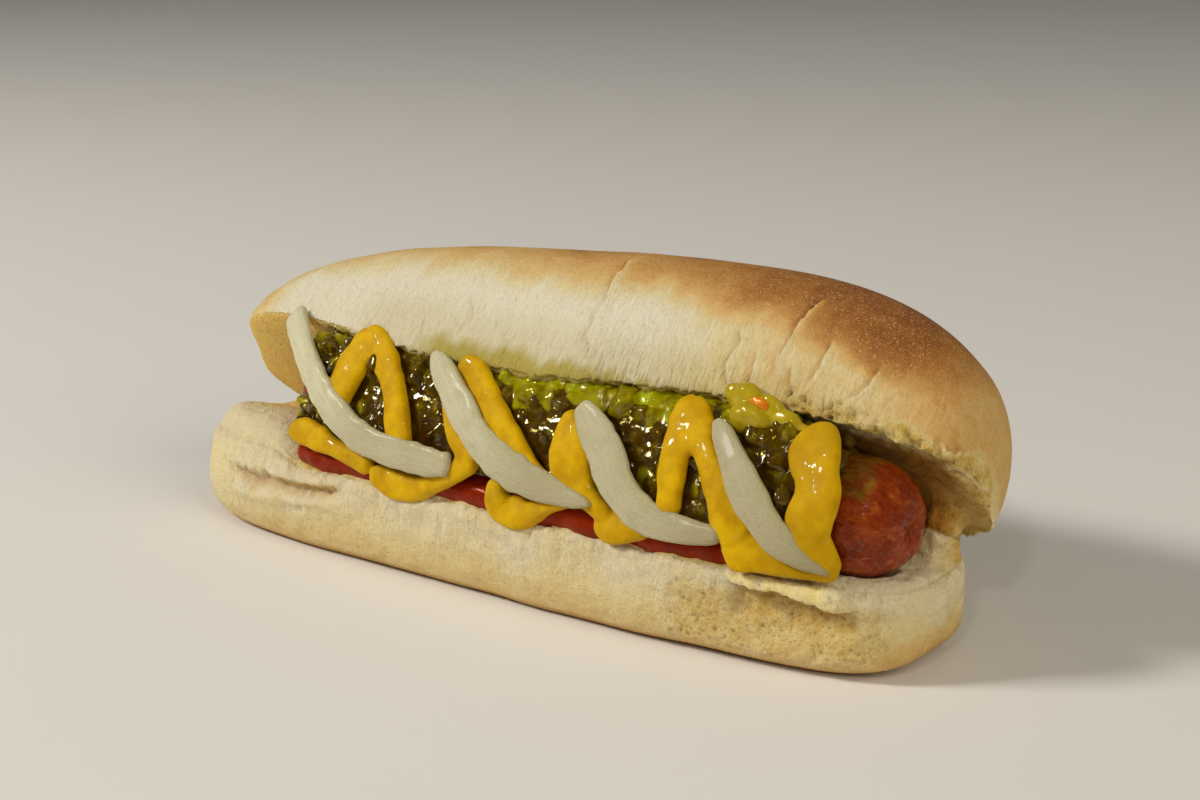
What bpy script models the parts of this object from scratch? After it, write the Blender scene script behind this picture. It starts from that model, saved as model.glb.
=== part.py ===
"""A hot dog lying on the back of its bun: a soft roll slit along one side and opened like a book,
with a sausage, ketchup, pickle relish, a piped zigzag of mustard and four strips of onion.

+X runs along the roll, the slit opens towards -Y, and the roll rests on Z = 0."""
import math

import bmesh
import bpy
from mathutils import Vector

MM = 0.001
GAP = 0.3 * MM  # what touching pieces keep between them

# The roll. Its lower half is a flat-based loaf, its upper half a domed one that is a little longer.
LENGTH = 160 * MM
LOWER_WIDTH = 42.4 * MM
LOWER_HEIGHT = 17.7 * MM  # the slit's height over the table
LOWER_PLAN = 3.95  # exponents of the superellipses: 2 is an ellipse, and larger is boxier
LOWER_SIDE = 8.6
LOWER_SECTION = 6.0
LOWER_END_DROP = 1.2 * MM
UPPER_LENGTH = 165.6 * MM
UPPER_WIDTH = 48.4 * MM
UPPER_HEIGHT = 33.0 * MM
UPPER_PLAN = 2.83
UPPER_SIDE = 3.0
UPPER_SECTION = 3.0
UPPER_TAPER = 0.22  # how much taller the crown is at +X than at the middle
UPPER_SHIFT = Vector((1.6 * MM, 2.8 * MM))
BACK_PINCH = 5.6 * MM  # how far the crust behind the hinge is folded in
HINGE = Vector((0, 12.2 * MM, 18.8 * MM))  # behind it the crumb is uncut
OPENING = math.radians(40)
OPENING_TWIST = math.radians(-5)
LIP_ARCH = (3.8 * MM, 4.9 * MM)  # how far the upper lip is drawn up at the two ends

# The fillings. A height of 0 is at the lower lip of the slit and 1 at the upper lip.
MOUTH = 24 * MM  # the slit's usual opening, from lip to lip
FILLING_BULGE = 3.0 * MM
END_BULGE = 3.2 * MM  # more of it where the sausage comes out of the +X end
END_BULGE_SPAN = (36 * MM, 68 * MM)
LOWER_LIP_INSET = 1.5 * MM
UPPER_LIP_INSET = 1.9 * MM
SAUSAGE_RADIUS = 10.0 * MM
SAUSAGE_ENDS = (-51.8 * MM, 78.7 * MM)
SAUSAGE_CENTRE = Vector((0, -6.2 * MM, 26.1 * MM))
SAUSAGE_BOW = 1.2 * MM  # how far the ends come forward
SAUSAGE_TILT = 0.8 * MM  # how far the -X end is above the middle
KETCHUP_ENDS = (-46 * MM, 60 * MM)
KETCHUP_DEPTH = 6.6 * MM
KETCHUP_HEIGHT = 5.4 * MM
KETCHUP_SETBACK = 3.6 * MM
RELISH_ENDS = (-49 * MM, 68 * MM)
RELISH_FOOT = 0.16  # as a height: it lies on the ketchup
RELISH_BACK = 9.0 * MM  # how far it reaches in under the upper lip
MUSTARD_THICKNESS = 3.4 * MM
MUSTARD_LIFT = 0.9 * MM
MUSTARD_WIDTH = 4.3 * MM
# Turns of the zigzag: x and half the turn's width in mm, its height, the sideways bow in mm of the
# leg that leads to it, and the bead's width there as a multiple of MUSTARD_WIDTH.
MUSTARD_TURNS = (
    (-33.0, 3.4, 0.94, 0.0, 1.0),
    (-12.5, 8.2, 0.015, 4.0, 1.05),
    (-6.0, 4.0, 0.92, -0.5, 1.0),
    (12.0, 8.4, -0.005, 7.0, 1.05),
    (18.4, 2.6, 0.79, -1.5, 1.05),
    (32.7, 6.4, 0.04, 2.0, 1.1),
    (39.7, 2.9, 0.93, 0.0, 1.0),
    (58.0, 9.6, 0.06, 0.0, 1.3),
)
MUSTARD_START = (-42.0, 0.22, 0.9)  # x in mm, height, width
MUSTARD_FINISH = ((67.2, 0.34, 1.6), (66.2, 0.55, 1.7), (63.2, 0.82, 2.2))
MUSTARD_TAIL = ((-46.5, 0.15, 1.0), (-40.5, 0.2, 1.1), (-33.0, 0.15, 0.9), (-22.0, 0.05, 1.0))
TURN_RISE = 0.13
MUSTARD_POWER = 2.0  # exponent of the bead's section
MUSTARD_BLUNT = 1.6 * MM  # how soon its ends close
ONION_THICKNESS = 2.2 * MM
ONION_LIFT = 2.3 * MM
ONION_POWER = 3.0
ONION_BLUNT = 1.0 * MM
# Each strip from its cut upper end to its tail: x in mm, height, and width in mm.
ONION_STRIPS = (
    (
        (-55.2, 0.99, 5.0), (-48.2, 0.79, 5.0), (-41.2, 0.576, 5.1), (-33.8, 0.39, 5.6),
        (-25.7, 0.256, 5.5), (-13.2, 0.209, 5.4), (-5.0, 0.22, 4.2),
    ),
    (
        (-15.4, 1.0, 1.6), (-12.6, 0.915, 4.5), (-5.1, 0.665, 6.0), (1.3, 0.432, 6.1),
        (9.5, 0.268, 6.3), (19.2, 0.183, 4.2), (25.7, 0.153, 1.4),
    ),
    (
        (19.3, 0.80, 3.8), (21.6, 0.72, 6.3), (26.7, 0.516, 7.8), (30.7, 0.293, 6.9),
        (36.4, 0.146, 6.2), (43.8, 0.116, 5.0), (51.0, 0.126, 3.0),
    ),
    (
        (45.4, 0.82, 2.6), (47.7, 0.74, 4.5), (52.1, 0.548, 6.2), (56.3, 0.361, 6.3),
        (60.5, 0.201, 5.7), (65.0, 0.095, 4.2), (69.4, 0.018, 1.4),
    ),
)

# How finely the skins are divided: rings along a piece and points round a ring.
LOWER_RINGS, LOWER_POINTS = 31, 15
UPPER_RINGS, UPPER_POINTS = 35, 17
CAP_RINGS, BODY_RINGS, SAUSAGE_POINTS = 6, 12, 22
HEAP_RINGS, HEAP_HEIGHTS, KETCHUP_POINTS = 24, 8, 10
BEAD_POINTS = 8
ONION_STEP = 3.4 * MM
MUSTARD_STEP = 4.1 * MM
SHARP = math.radians(35)  # creases steeper than this stay sharp

COLOURS = {  # base colour, roughness
    "bun": ((0.80, 0.60, 0.34, 1), 0.75),
    "sausage": ((0.55, 0.09, 0.04, 1), 0.3),
    "ketchup": ((0.36, 0.02, 0.01, 1), 0.25),
    "relish": ((0.16, 0.20, 0.02, 1), 0.3),
    "mustard": ((0.80, 0.48, 0.02, 1), 0.35),
    "onion": ((0.74, 0.70, 0.47, 1), 0.35),
}


def clear_scene():
    for obj in list(bpy.data.objects):
        bpy.data.objects.remove(obj, do_unlink=True)


def new_collection(name):
    collection = bpy.data.collections.new(name)
    bpy.context.scene.collection.children.link(collection)
    return collection


def material(name):
    colour, roughness = COLOURS[name]
    made = bpy.data.materials.new(name)
    made.use_nodes = True
    shader = made.node_tree.nodes["Principled BSDF"]
    shader.inputs["Base Color"].default_value = colour
    shader.inputs["Roughness"].default_value = roughness
    shader.inputs["Metallic"].default_value = 0.0
    return made


def signed_power(value, power):
    return math.copysign(abs(value) ** power, value)


def super_fall(along, exponent):
    """How a superellipse closes towards its end, from 1 at along = 0 to 0 at 1."""
    return max(0.0, 1 - abs(along) ** exponent) ** (1 / exponent)


def smooth_step(value):
    value = min(max(value, 0.0), 1.0)
    return value * value * (3 - 2 * value)


def spread(first, last, count):
    return [first + (last - first) * i / (count - 1) for i in range(count)]


# ---- the roll


def lower_lip(x, grow=0.0):
    """(half width, height) of the lower half at its cut edge."""
    along = min(abs(x) / (LENGTH / 2), 1.0)
    half_width = (LOWER_WIDTH / 2 + grow) * super_fall(along, LOWER_PLAN)
    return half_width, LOWER_HEIGHT + grow - LOWER_END_DROP * along**4


def lower_ring(along, count, grow):
    """One cross-section of the lower half: up over the flat base and back across the slit."""
    x = (LENGTH / 2 + grow) * along
    half_width = (LOWER_WIDTH / 2 + grow) * super_fall(along, LOWER_PLAN)
    depth = (LOWER_HEIGHT + 0.8 * MM) * super_fall(along, LOWER_SIDE)
    ring = []
    for angle in spread(0, math.pi, count):
        y = -half_width * signed_power(math.cos(angle), 2 / LOWER_SECTION)
        z = max(LOWER_HEIGHT - depth * math.sin(angle) ** (2 / LOWER_SECTION), 0.0)
        z -= LOWER_END_DROP * along**4 * z / LOWER_HEIGHT
        ring.append(Vector((x, y, z + grow * (z > LOWER_HEIGHT / 2))))
    front, back = ring[0], ring[-1]
    ring += [back.lerp(front, part) for part in (0.25, 0.5, 0.75)]
    return ring


def upper_shape(along):
    half_width = UPPER_WIDTH / 2 * super_fall(along, UPPER_PLAN)
    height = UPPER_HEIGHT * (1 + UPPER_TAPER * along) * super_fall(along, UPPER_SIDE)
    arch = LIP_ARCH[0] * smooth_step((-along - 0.2) / 0.7)
    arch += LIP_ARCH[1] * smooth_step((along + 0.1) / 0.7)
    start = math.asin(min(arch / max(height, 1e-9), 0.9) ** (UPPER_SECTION / 2))
    return half_width, height, start


def opened(along, y, rise):
    """Turns a point of the shut upper half, rise above the slit, back about the hinge."""
    angle = OPENING + OPENING_TWIST * along
    out = y + UPPER_SHIFT.y - HINGE.y
    return Vector((
        UPPER_SHIFT.x + UPPER_LENGTH / 2 * along,
        HINGE.y + out * math.cos(angle) + rise * math.sin(angle),
        HINGE.z - out * math.sin(angle) + rise * math.cos(angle),
    ))


def upper_ring(along, count, grow):
    """One cross-section of the upper half: from its lip over the crown, and back along the cut."""
    half_width, height, start = upper_shape(along)
    pinch = BACK_PINCH * half_width / (UPPER_WIDTH / 2)
    ring = []
    for angle in spread(start, math.pi, count):
        out = -(half_width + grow) * signed_power(math.cos(angle), 2 / UPPER_SECTION)
        rise = (height + grow) * math.sin(angle) ** (2 / UPPER_SECTION)
        if out > 0:
            out -= pinch * max(1 - 2 * rise / UPPER_HEIGHT, 0) ** 2
        if angle in (start, math.pi):  # the cut's two edges
            rise = max(rise - grow, -grow)
        ring.append(opened(along, out, rise))
    front, back = ring[0], ring[-1]
    ring += [back.lerp(front, part) for part in (0.2, 0.4, 0.6, 0.8)]
    return ring


def upper_lip(x):
    along = min(max((x - UPPER_SHIFT.x) / (UPPER_LENGTH / 2), -0.999), 0.999)
    half_width, height, start = upper_shape(along)
    out = -half_width * math.cos(start) ** (2 / UPPER_SECTION)
    return opened(along, out, height * math.sin(start) ** (2 / UPPER_SECTION))


# ---- meshes


def loft(name, rings, home):
    """A closed skin through rings of equal length. The two end rings shrink to a point or are capped."""
    mesh = bmesh.new()
    rows = [[mesh.verts.new(point) for point in ring] for ring in rings]
    for low, high in zip(rows, rows[1:]):
        for i in range(len(low)):
            j = (i + 1) % len(low)
            mesh.faces.new((low[i], low[j], high[j], high[i]))
    mesh.faces.new(rows[0])
    mesh.faces.new(reversed(rows[-1]))
    bmesh.ops.remove_doubles(mesh, verts=mesh.verts, dist=0.02 * MM)
    bmesh.ops.dissolve_degenerate(mesh, edges=mesh.edges, dist=0.01 * MM)
    bmesh.ops.recalc_face_normals(mesh, faces=mesh.faces)
    data = bpy.data.meshes.new(name)
    mesh.to_mesh(data)
    mesh.free()
    obj = bpy.data.objects.new(name, data)
    home.objects.link(obj)
    return obj


def boolean(obj, operation, other):
    modifier = obj.modifiers.new(f"{operation.lower()} {other.name}", "BOOLEAN")
    modifier.operation = operation
    modifier.solver = "EXACT"
    modifier.object = other


def as_helper(obj):
    obj.hide_render = True
    obj.display_type = "WIRE"
    return obj


def finish_node(obj, look):
    obj.data.materials.clear()
    obj.data.materials.append(look)
    obj.data.shade_smooth()
    obj.data.set_sharp_from_angle(angle=SHARP)


def keep_largest_piece(obj):
    """Applies the modifiers and drops the crumbs that cutting leaves."""
    graph = bpy.context.evaluated_depsgraph_get()
    data = bpy.data.meshes.new_from_object(obj.evaluated_get(graph))
    obj.modifiers.clear()
    obj.data = data
    mesh = bmesh.new()
    mesh.from_mesh(data)
    left = set(mesh.verts)
    pieces = []
    while left:
        piece, queue = set(), [left.pop()]
        while queue:
            vertex = queue.pop()
            piece.add(vertex)
            for edge in vertex.link_edges:
                other = edge.other_vert(vertex)
                if other in left:
                    left.discard(other)
                    queue.append(other)
        pieces.append(piece)
    pieces.sort(key=len)
    crumbs = [vertex for piece in pieces[:-1] for vertex in piece]
    bmesh.ops.delete(mesh, geom=crumbs, context="VERTS")
    mesh.to_mesh(data)
    mesh.free()


def curve_through(points, step):
    """Samples a Catmull-Rom curve through points of any length about every step."""
    ends = [tuple(2 * a - b for a, b in zip(points[0], points[1]))]
    ends.append(tuple(2 * a - b for a, b in zip(points[-1], points[-2])))
    posts = [ends[0], *points, ends[1]]
    samples = []
    for a, b, c, d in zip(posts, posts[1:], posts[2:], posts[3:]):
        span = math.hypot((c[0] - b[0]) * MM, (c[1] - b[1]) * MOUTH)
        pieces = max(1, round(span / step))
        for i in range(pieces):
            u = i / pieces
            samples.append(tuple(
                q + 0.5 * u * ((r - p) + u * ((2 * p - 5 * q + 4 * r - s) + u * (3 * q - p - 3 * r + s)))
                for p, q, r, s in zip(a, b, c, d)
            ))
    samples.append(tuple(points[-1]))
    return samples


# ---- the face of the fillings, between the two lips


def mouth_frame(x):
    """The lower and the upper end of the fillings' face at x, and the direction out of it."""
    half_width, height = lower_lip(x)
    low = Vector((x, -half_width + LOWER_LIP_INSET, height + GAP))
    high = upper_lip(x)
    out = (high - Vector((x, -half_width, height))).normalized()
    high += Vector((0, UPPER_LIP_INSET, -GAP))
    return low, high, Vector((0, -out.z, out.y))


def on_face(x, height, lift=0.0):
    low, high, out = mouth_frame(x)
    start, stop = END_BULGE_SPAN
    bulge = FILLING_BULGE + END_BULGE * smooth_step((x - start) / (stop - start))
    bulge *= max(4 * height * (1 - height), 0.0) ** 0.8
    return low.lerp(high, height) + out * (bulge + lift)


def bead(name, stations, thickness, lift, power, blunt, home, grow=0.0):
    """A flattened bead laid along the fillings' face. Stations hold x in mm, height and width in metres."""
    points = [on_face(x * MM, height, lift) for x, height, _ in stations]
    lengths = [0.0]
    for before, after in zip(points, points[1:]):
        lengths.append(lengths[-1] + (after - before).length)
    rings = []
    for i, (point, station) in enumerate(zip(points, stations)):
        tangent = (points[min(i + 1, len(points) - 1)] - points[max(i - 1, 0)]).normalized()
        out = mouth_frame(station[0] * MM)[2]
        side = tangent.cross(out).normalized()
        out = side.cross(tangent)
        from_end = min(lengths[i], lengths[-1] - lengths[i])
        close = math.sqrt(max(1 - (1 - min(from_end / blunt, 1)) ** 2, 0.06))
        half_width = station[2] / 2 * close + grow
        half_depth = thickness / 2 * close + grow
        rings.append([
            point
            + side * half_width * signed_power(math.cos(angle), 2 / power)
            + out * half_depth * signed_power(math.sin(angle), 2 / power)
            for angle in spread(0, 2 * math.pi, BEAD_POINTS + 1)[:-1]
        ])
    rings[0] = [point - (points[1] - points[0]).normalized() * grow for point in rings[0]]
    rings[-1] = [point + (points[-1] - points[-2]).normalized() * grow for point in rings[-1]]
    return loft(name, rings, home)


# ---- the nodes


def make_bun_half(name, ring_at, stations, count, grow, home):
    rings = [ring_at(math.sin(angle), count, grow) for angle in spread(-math.pi / 2, math.pi / 2, stations)]
    return loft(name, rings, home)


def sausage_axis(x):
    along = (x - sum(SAUSAGE_ENDS) / 2) / (SAUSAGE_ENDS[1] - SAUSAGE_ENDS[0]) * 2
    return SAUSAGE_CENTRE + Vector((x, -SAUSAGE_BOW * along**2, -SAUSAGE_TILT * along))


def make_sausage(name, home, grow=0.0):
    radius = SAUSAGE_RADIUS + grow
    first, last = SAUSAGE_ENDS[0] - grow, SAUSAGE_ENDS[1] + grow
    rings = []
    for angle in spread(0, math.pi / 2, CAP_RINGS)[:-1]:
        rings.append((first + radius * (1 - math.cos(angle)), radius * math.sin(angle)))
    rings += [(x, radius) for x in spread(first + radius, last - radius, BODY_RINGS)]
    for angle in spread(math.pi / 2, 0, CAP_RINGS)[1:]:
        rings.append((last - radius * (1 - math.cos(angle)), radius * math.sin(angle)))
    skin = []
    for x, size in rings:
        centre = sausage_axis(x)
        skin.append([
            centre + Vector((0, math.cos(angle), math.sin(angle))) * size
            for angle in spread(0, 2 * math.pi, SAUSAGE_POINTS + 1)[:-1]
        ])
    return loft(name, skin, home)


def make_ketchup(name, home, grow=0.0):
    rings = []
    middle = sum(KETCHUP_ENDS) / 2
    for angle in spread(-math.pi / 2, math.pi / 2, HEAP_RINGS):
        along = math.sin(angle)
        x = middle + (KETCHUP_ENDS[1] - middle + grow) * along
        size = max(super_fall(along, 6), 0.02)
        half_width, height = lower_lip(x)
        centre = Vector((x, -half_width + KETCHUP_SETBACK, height + KETCHUP_HEIGHT / 2 - 0.5 * MM))
        half_depth = (KETCHUP_DEPTH / 2 + grow) * size
        half_height = (KETCHUP_HEIGHT / 2 + grow) * size
        rings.append([
            centre + Vector((0, math.cos(turn) * half_depth, math.sin(turn) * half_height))
            for turn in spread(0, 2 * math.pi, KETCHUP_POINTS + 1)[:-1]
        ])
    return loft(name, rings, home)


def make_relish(name, home, grow=0.0):
    """The heap's front face is the fillings' face. Its back is cut away by the sausage."""
    rings = []
    middle = sum(RELISH_ENDS) / 2
    for angle in spread(-math.pi / 2, math.pi / 2, HEAP_RINGS):
        along = math.sin(angle)
        x = middle + (RELISH_ENDS[1] - middle) * along
        size = max(super_fall(along, 9), 0.02)
        heart = sausage_axis(x)
        high = mouth_frame(x)[1]
        inward = (HINGE + Vector((x, 0, 0)) - high).normalized()
        more = grow / MOUTH
        foot = on_face(x, RELISH_FOOT - more, grow)
        ring = [on_face(x, height, grow) for height in spread(RELISH_FOOT - more, 1 + more, HEAP_HEIGHTS)]
        ring.append(high + inward * RELISH_BACK / 2)
        ring.append(high + inward * RELISH_BACK)
        ring.append(heart)
        ring.append(Vector((x, heart.y - 3 * MM, foot.z)))
        rings.append([heart.lerp(point, size) for point in ring])
    return loft(name, rings, home)


def mustard_stations():
    """The zigzag's path: an arc at each turn, and one bowed point halfway along each leg."""
    x, height, width = MUSTARD_START
    path = [(x, height, width * MUSTARD_WIDTH)]
    last = path[0]
    for centre, half, level, bow, broad in MUSTARD_TURNS:
        rise = TURN_RISE if level < 0.5 else -TURN_RISE
        arc = []
        for angle in spread(-math.pi / 2, math.pi / 2, 5):
            turn_height = level + rise * (1 - math.cos(angle))
            arc.append((centre + half * math.sin(angle), turn_height, broad * MUSTARD_WIDTH))
        x, height, width = ((before + after) / 2 for before, after in zip(last, arc[0]))
        path.append((x + bow, height, width))
        path += arc
        last = path[-1]
    path += [(x, height, width * MUSTARD_WIDTH) for x, height, width in MUSTARD_FINISH]
    return path


def main():
    clear_scene()
    parts = new_collection("hot dog")
    helpers = new_collection("cutters")
    looks = {name: material(name) for name in COLOURS}

    lower_half = (lower_ring, LOWER_RINGS, LOWER_POINTS)
    upper_half = (upper_ring, UPPER_RINGS, UPPER_POINTS)
    bun = make_bun_half("bun", *lower_half, 0.0, parts)
    upper = as_helper(make_bun_half("upper half", *upper_half, 0.0, helpers))
    sausage = make_sausage("sausage", parts)
    sausage_space = as_helper(make_sausage("sausage space", helpers, GAP))
    boolean(bun, "UNION", upper)
    boolean(bun, "DIFFERENCE", sausage_space)
    lower_space = as_helper(make_bun_half("lower space", *lower_half, GAP, helpers))
    upper_space = as_helper(make_bun_half("upper space", *upper_half, GAP, helpers))

    ketchup = make_ketchup("ketchup", parts)
    ketchup_space = as_helper(make_ketchup("ketchup space", helpers, GAP))
    relish = make_relish("relish", parts)
    relish_space = as_helper(make_relish("relish space", helpers, GAP))

    onions, onion_spaces = [], []
    for number, strip in enumerate(ONION_STRIPS, 1):
        stations = [(x, height, width * MM) for x, height, width in curve_through(strip, ONION_STEP)]
        shape = (stations, ONION_THICKNESS, ONION_LIFT, ONION_POWER, ONION_BLUNT)
        onions.append(bead(f"onion_{number}", *shape, parts))
        onion_spaces.append(as_helper(bead(f"onion space {number}", *shape, helpers, GAP)))

    shape = (MUSTARD_THICKNESS, MUSTARD_LIFT, MUSTARD_POWER, MUSTARD_BLUNT)
    mustard = bead("mustard", curve_through(mustard_stations(), MUSTARD_STEP), *shape, parts)
    tail = [(x, height, width * MUSTARD_WIDTH) for x, height, width in MUSTARD_TAIL]
    tail_bead = bead("mustard tail", curve_through(tail, MUSTARD_STEP), *shape, helpers)
    boolean(mustard, "UNION", as_helper(tail_bead))

    bread = (lower_space, upper_space)
    for obj, spaces in (
        (ketchup, (sausage_space, *bread)),
        (relish, (sausage_space, ketchup_space, *bread)),
        (mustard, (relish_space, ketchup_space, sausage_space, *onion_spaces, *bread)),
        *((onion, (relish_space, *bread)) for onion in onions),
    ):
        for space in spaces:
            boolean(obj, "DIFFERENCE", space)
        keep_largest_piece(obj)
    keep_largest_piece(bun)

    for obj in parts.objects:
        finish_node(obj, looks[obj.name.split("_")[0]])


main()
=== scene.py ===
"""The looks of a hot dog lying on the back of its roll: a soft torn bun, a puckered sausage, ketchup,
diced pickle relish, a piped zigzag of mustard and four strips of onion.

Lengths are in millimetres until make_piece turns them into metres. +X runs along the roll, the slit
opens towards -Y, and the roll rests on Z = 0. "Shut" places are those of the roll before it was opened:
x along it, out from its middle (below 0 at the slit's side) and rise above the slit."""
import itertools
import math

import bpy
import numpy as np
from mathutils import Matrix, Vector
from mathutils.kdtree import KDTree


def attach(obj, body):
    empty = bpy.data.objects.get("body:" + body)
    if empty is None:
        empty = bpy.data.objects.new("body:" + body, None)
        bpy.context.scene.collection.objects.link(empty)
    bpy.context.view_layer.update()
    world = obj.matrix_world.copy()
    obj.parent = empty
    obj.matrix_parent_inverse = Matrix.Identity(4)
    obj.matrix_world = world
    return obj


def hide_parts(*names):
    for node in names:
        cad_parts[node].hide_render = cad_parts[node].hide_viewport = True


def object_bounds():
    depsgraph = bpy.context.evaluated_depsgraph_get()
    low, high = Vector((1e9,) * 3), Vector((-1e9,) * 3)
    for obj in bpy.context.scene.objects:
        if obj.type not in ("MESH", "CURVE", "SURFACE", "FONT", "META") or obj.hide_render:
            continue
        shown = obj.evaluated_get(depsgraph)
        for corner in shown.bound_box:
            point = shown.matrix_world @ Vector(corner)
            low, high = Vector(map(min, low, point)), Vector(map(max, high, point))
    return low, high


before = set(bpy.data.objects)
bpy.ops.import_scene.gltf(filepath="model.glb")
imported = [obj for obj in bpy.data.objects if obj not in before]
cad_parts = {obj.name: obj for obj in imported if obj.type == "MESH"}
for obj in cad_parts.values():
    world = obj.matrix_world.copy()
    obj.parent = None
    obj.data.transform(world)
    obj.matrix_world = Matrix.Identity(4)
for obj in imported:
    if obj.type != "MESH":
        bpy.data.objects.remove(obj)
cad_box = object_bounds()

MM = 0.001
GAP = 0.3  # left free round the sausage and the fillings
BOX_MARGIN = 0.02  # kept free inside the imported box
TABLE_MARGIN = 0.03  # how far the roll stays over the table
MOST_TRIANGLES = 196000  # in one piece

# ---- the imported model's own sizes

LENGTH, LOWER_WIDTH, LOWER_HEIGHT = 160.0, 42.4, 17.7
LOWER_PLAN, LOWER_SIDE, LOWER_SECTION = 3.95, 8.6, 6.0
LOWER_END_DROP = 1.2
UPPER_LENGTH, UPPER_WIDTH, UPPER_HEIGHT = 165.6, 48.4, 33.0
UPPER_PLAN, UPPER_SIDE, UPPER_SECTION = 2.83, 3.0, 3.0
UPPER_TAPER = 0.22
UPPER_SHIFT = (1.6, 2.8)
BACK_PINCH = 5.6
HINGE_Y, HINGE_Z = 12.2, 18.8
OPENING, OPENING_TWIST = math.radians(40), math.radians(-5)
LIP_ARCH = (3.8, 4.9)

MOUTH = 24.0  # about how far apart the lips are
FILLING_BULGE, END_BULGE, END_BULGE_SPAN = 3.0, 3.2, (36, 68)
LOWER_LIP_INSET, UPPER_LIP_INSET = 1.5, 1.9
SAUSAGE_RADIUS, SAUSAGE_ENDS = 10.0, (-51.8, 78.7)
SAUSAGE_Y, SAUSAGE_Z = -6.2, 26.1
SAUSAGE_BOW, SAUSAGE_TILT = 1.2, 0.8
KETCHUP_ENDS, KETCHUP_DEPTH, KETCHUP_HEIGHT, KETCHUP_SETBACK = (-46, 60), 6.6, 5.4, 3.6
RELISH_ENDS, RELISH_FOOT, RELISH_BACK = (-49, 68), 0.16, 9.0

MUSTARD_THICKNESS, MUSTARD_LIFT = 2.752, 0.9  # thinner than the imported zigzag
MUSTARD_STEP = 0.7  # between its rings
# Each squeeze of mustard: x, height and width at its stations.
MUSTARD_STROKES = (
    ((-46.4, 0.165, 2.8), (-43.0, 0.195, 4.9), (-38.0, 0.17, 4.6), (-31.5, 0.12, 3.8), (-24.6, 0.06, 4.4)),
    ((-34.2, 1.04, 5.0), (-33.3, 0.93, 7.2), (-33.9, 0.78, 7.4), (-34.7, 0.62, 7.0), (-35.9, 0.42, 6.4)),
    (
        (-34.0, 1.03, 5.0), (-29.5, 0.93, 6.2), (-24.3, 0.77, 5.5), (-20.7, 0.56, 5.8), (-18.6, 0.33, 5.9),
        (-17.6, 0.17, 6.0),
    ),
    (
        (-24.7, 0.055, 3.6), (-22.5, 0.01, 5.6), (-18.0, -0.02, 6.0), (-13.2, 0.002, 4.9), (-7.8, 0.107, 4.1),
        (-3.4, 0.22, 4.9), (-2.2, 0.33, 5.9), (-4.6, 0.47, 5.8), (-8.0, 0.65, 4.8), (-9.2, 0.85, 4.6),
    ),
    (
        (-9.6, 0.98, 3.6), (-6.3, 0.93, 5.9), (-2.0, 0.79, 6.6), (2.6, 0.634, 6.1), (7.5, 0.436, 5.6),
        (12.4, 0.274, 5.0), (18.1, 0.156, 4.5),
    ),
    (
        (5.1, 0.20, 4.0), (4.7, 0.12, 4.7), (5.4, 0.01, 6.4), (9.0, -0.015, 6.2), (12.8, 0.028, 4.3),
        (16.0, 0.09, 2.9), (21.5, 0.152, 1.6),
    ),
    (
        (17.3, 0.77, 3.4), (18.3, 0.62, 6.2), (19.4, 0.44, 8.0), (21.4, 0.281, 7.4), (25.6, 0.156, 4.4),
        (29.0, 0.09, 4.5),
    ),
    ((25.4, 0.006, 2.2), (27.3, 0.03, 5.4), (29.8, 0.047, 6.4), (32.6, 0.054, 5.0), (37.1, 0.048, 1.6)),
    ((38.4, 0.97, 3.0), (38.6, 0.87, 4.8), (39.0, 0.72, 5.6), (39.3, 0.49, 5.3), (39.8, 0.26, 5.3), (40.2, 0.166, 3.4)),
    (
        (38.9, 0.95, 3.0), (41.2, 0.81, 4.8), (45.6, 0.584, 5.4), (49.6, 0.376, 6.2), (52.0, 0.23, 7.4),
        (54.6, 0.116, 8.4),
    ),
    (
        (50.2, 0.094, 4.2), (52.9, 0.095, 7.6), (56.0, 0.085, 8.0), (61.5, 0.053, 5.2), (67.5, 0.036, 3.6),
        (70.1, 0.031, 3.0),
    ),
    ((39.2, 0.95, 3.6), (40.2, 0.82, 6.8), (41.6, 0.68, 8.4), (42.6, 0.58, 5.0)),
    (
        (60.8, 0.95, 5.0), (61.9, 0.88, 9.0), (63.2, 0.77, 10.4), (65.2, 0.62, 8.6), (66.2, 0.486, 8.4),
        (65.6, 0.34, 8.8), (66.0, 0.213, 7.4), (67.8, 0.115, 5.2), (69.8, 0.031, 3.4),
    ),
)
ONION_THICKNESS, ONION_LIFT = 2.0, 2.2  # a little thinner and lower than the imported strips
ONION_STEP, ONION_SIDES = 0.6, 48
# Each strip from its cut upper end to its tail: x, height and width.
ONION_STRIPS = (
    (
        (-55.2, 0.99, 5.0), (-48.2, 0.79, 5.0), (-41.2, 0.576, 5.1), (-33.8, 0.39, 5.6), (-25.7, 0.256, 5.5),
        (-13.2, 0.209, 5.4), (-5.0, 0.22, 4.2),
    ),
    (
        (-15.4, 1.0, 1.4), (-12.6, 0.915, 4.5), (-5.1, 0.665, 6.0), (1.3, 0.432, 6.1), (9.5, 0.268, 6.3),
        (19.2, 0.183, 4.2), (25.7, 0.153, 0.9),
    ),
    (
        (19.3, 0.81, 2.8), (21.6, 0.72, 5.6), (26.7, 0.516, 7.1), (30.7, 0.293, 6.5), (36.4, 0.146, 5.8),
        (43.8, 0.116, 4.6), (51.0, 0.126, 2.6),
    ),
    (
        (45.4, 0.83, 1.2), (47.7, 0.74, 3.6), (52.1, 0.548, 5.4), (56.3, 0.361, 5.9), (60.5, 0.201, 5.3),
        (65.0, 0.095, 3.8), (69.4, 0.018, 1.0),
    ),
)

# ---- how fine the pieces are made

BUN_ROWS, BUN_COUNT = 240, 150
ARC_COUNT = 900  # points on a half's outside before they are spaced evenly
PICKLE_BITS = 400
BUN_VOXEL = 0.42
MUSTARD_VOXEL = 0.3
RELISH_VOXEL = 0.38

# ---- what the roll's surface shows, in shut places

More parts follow.
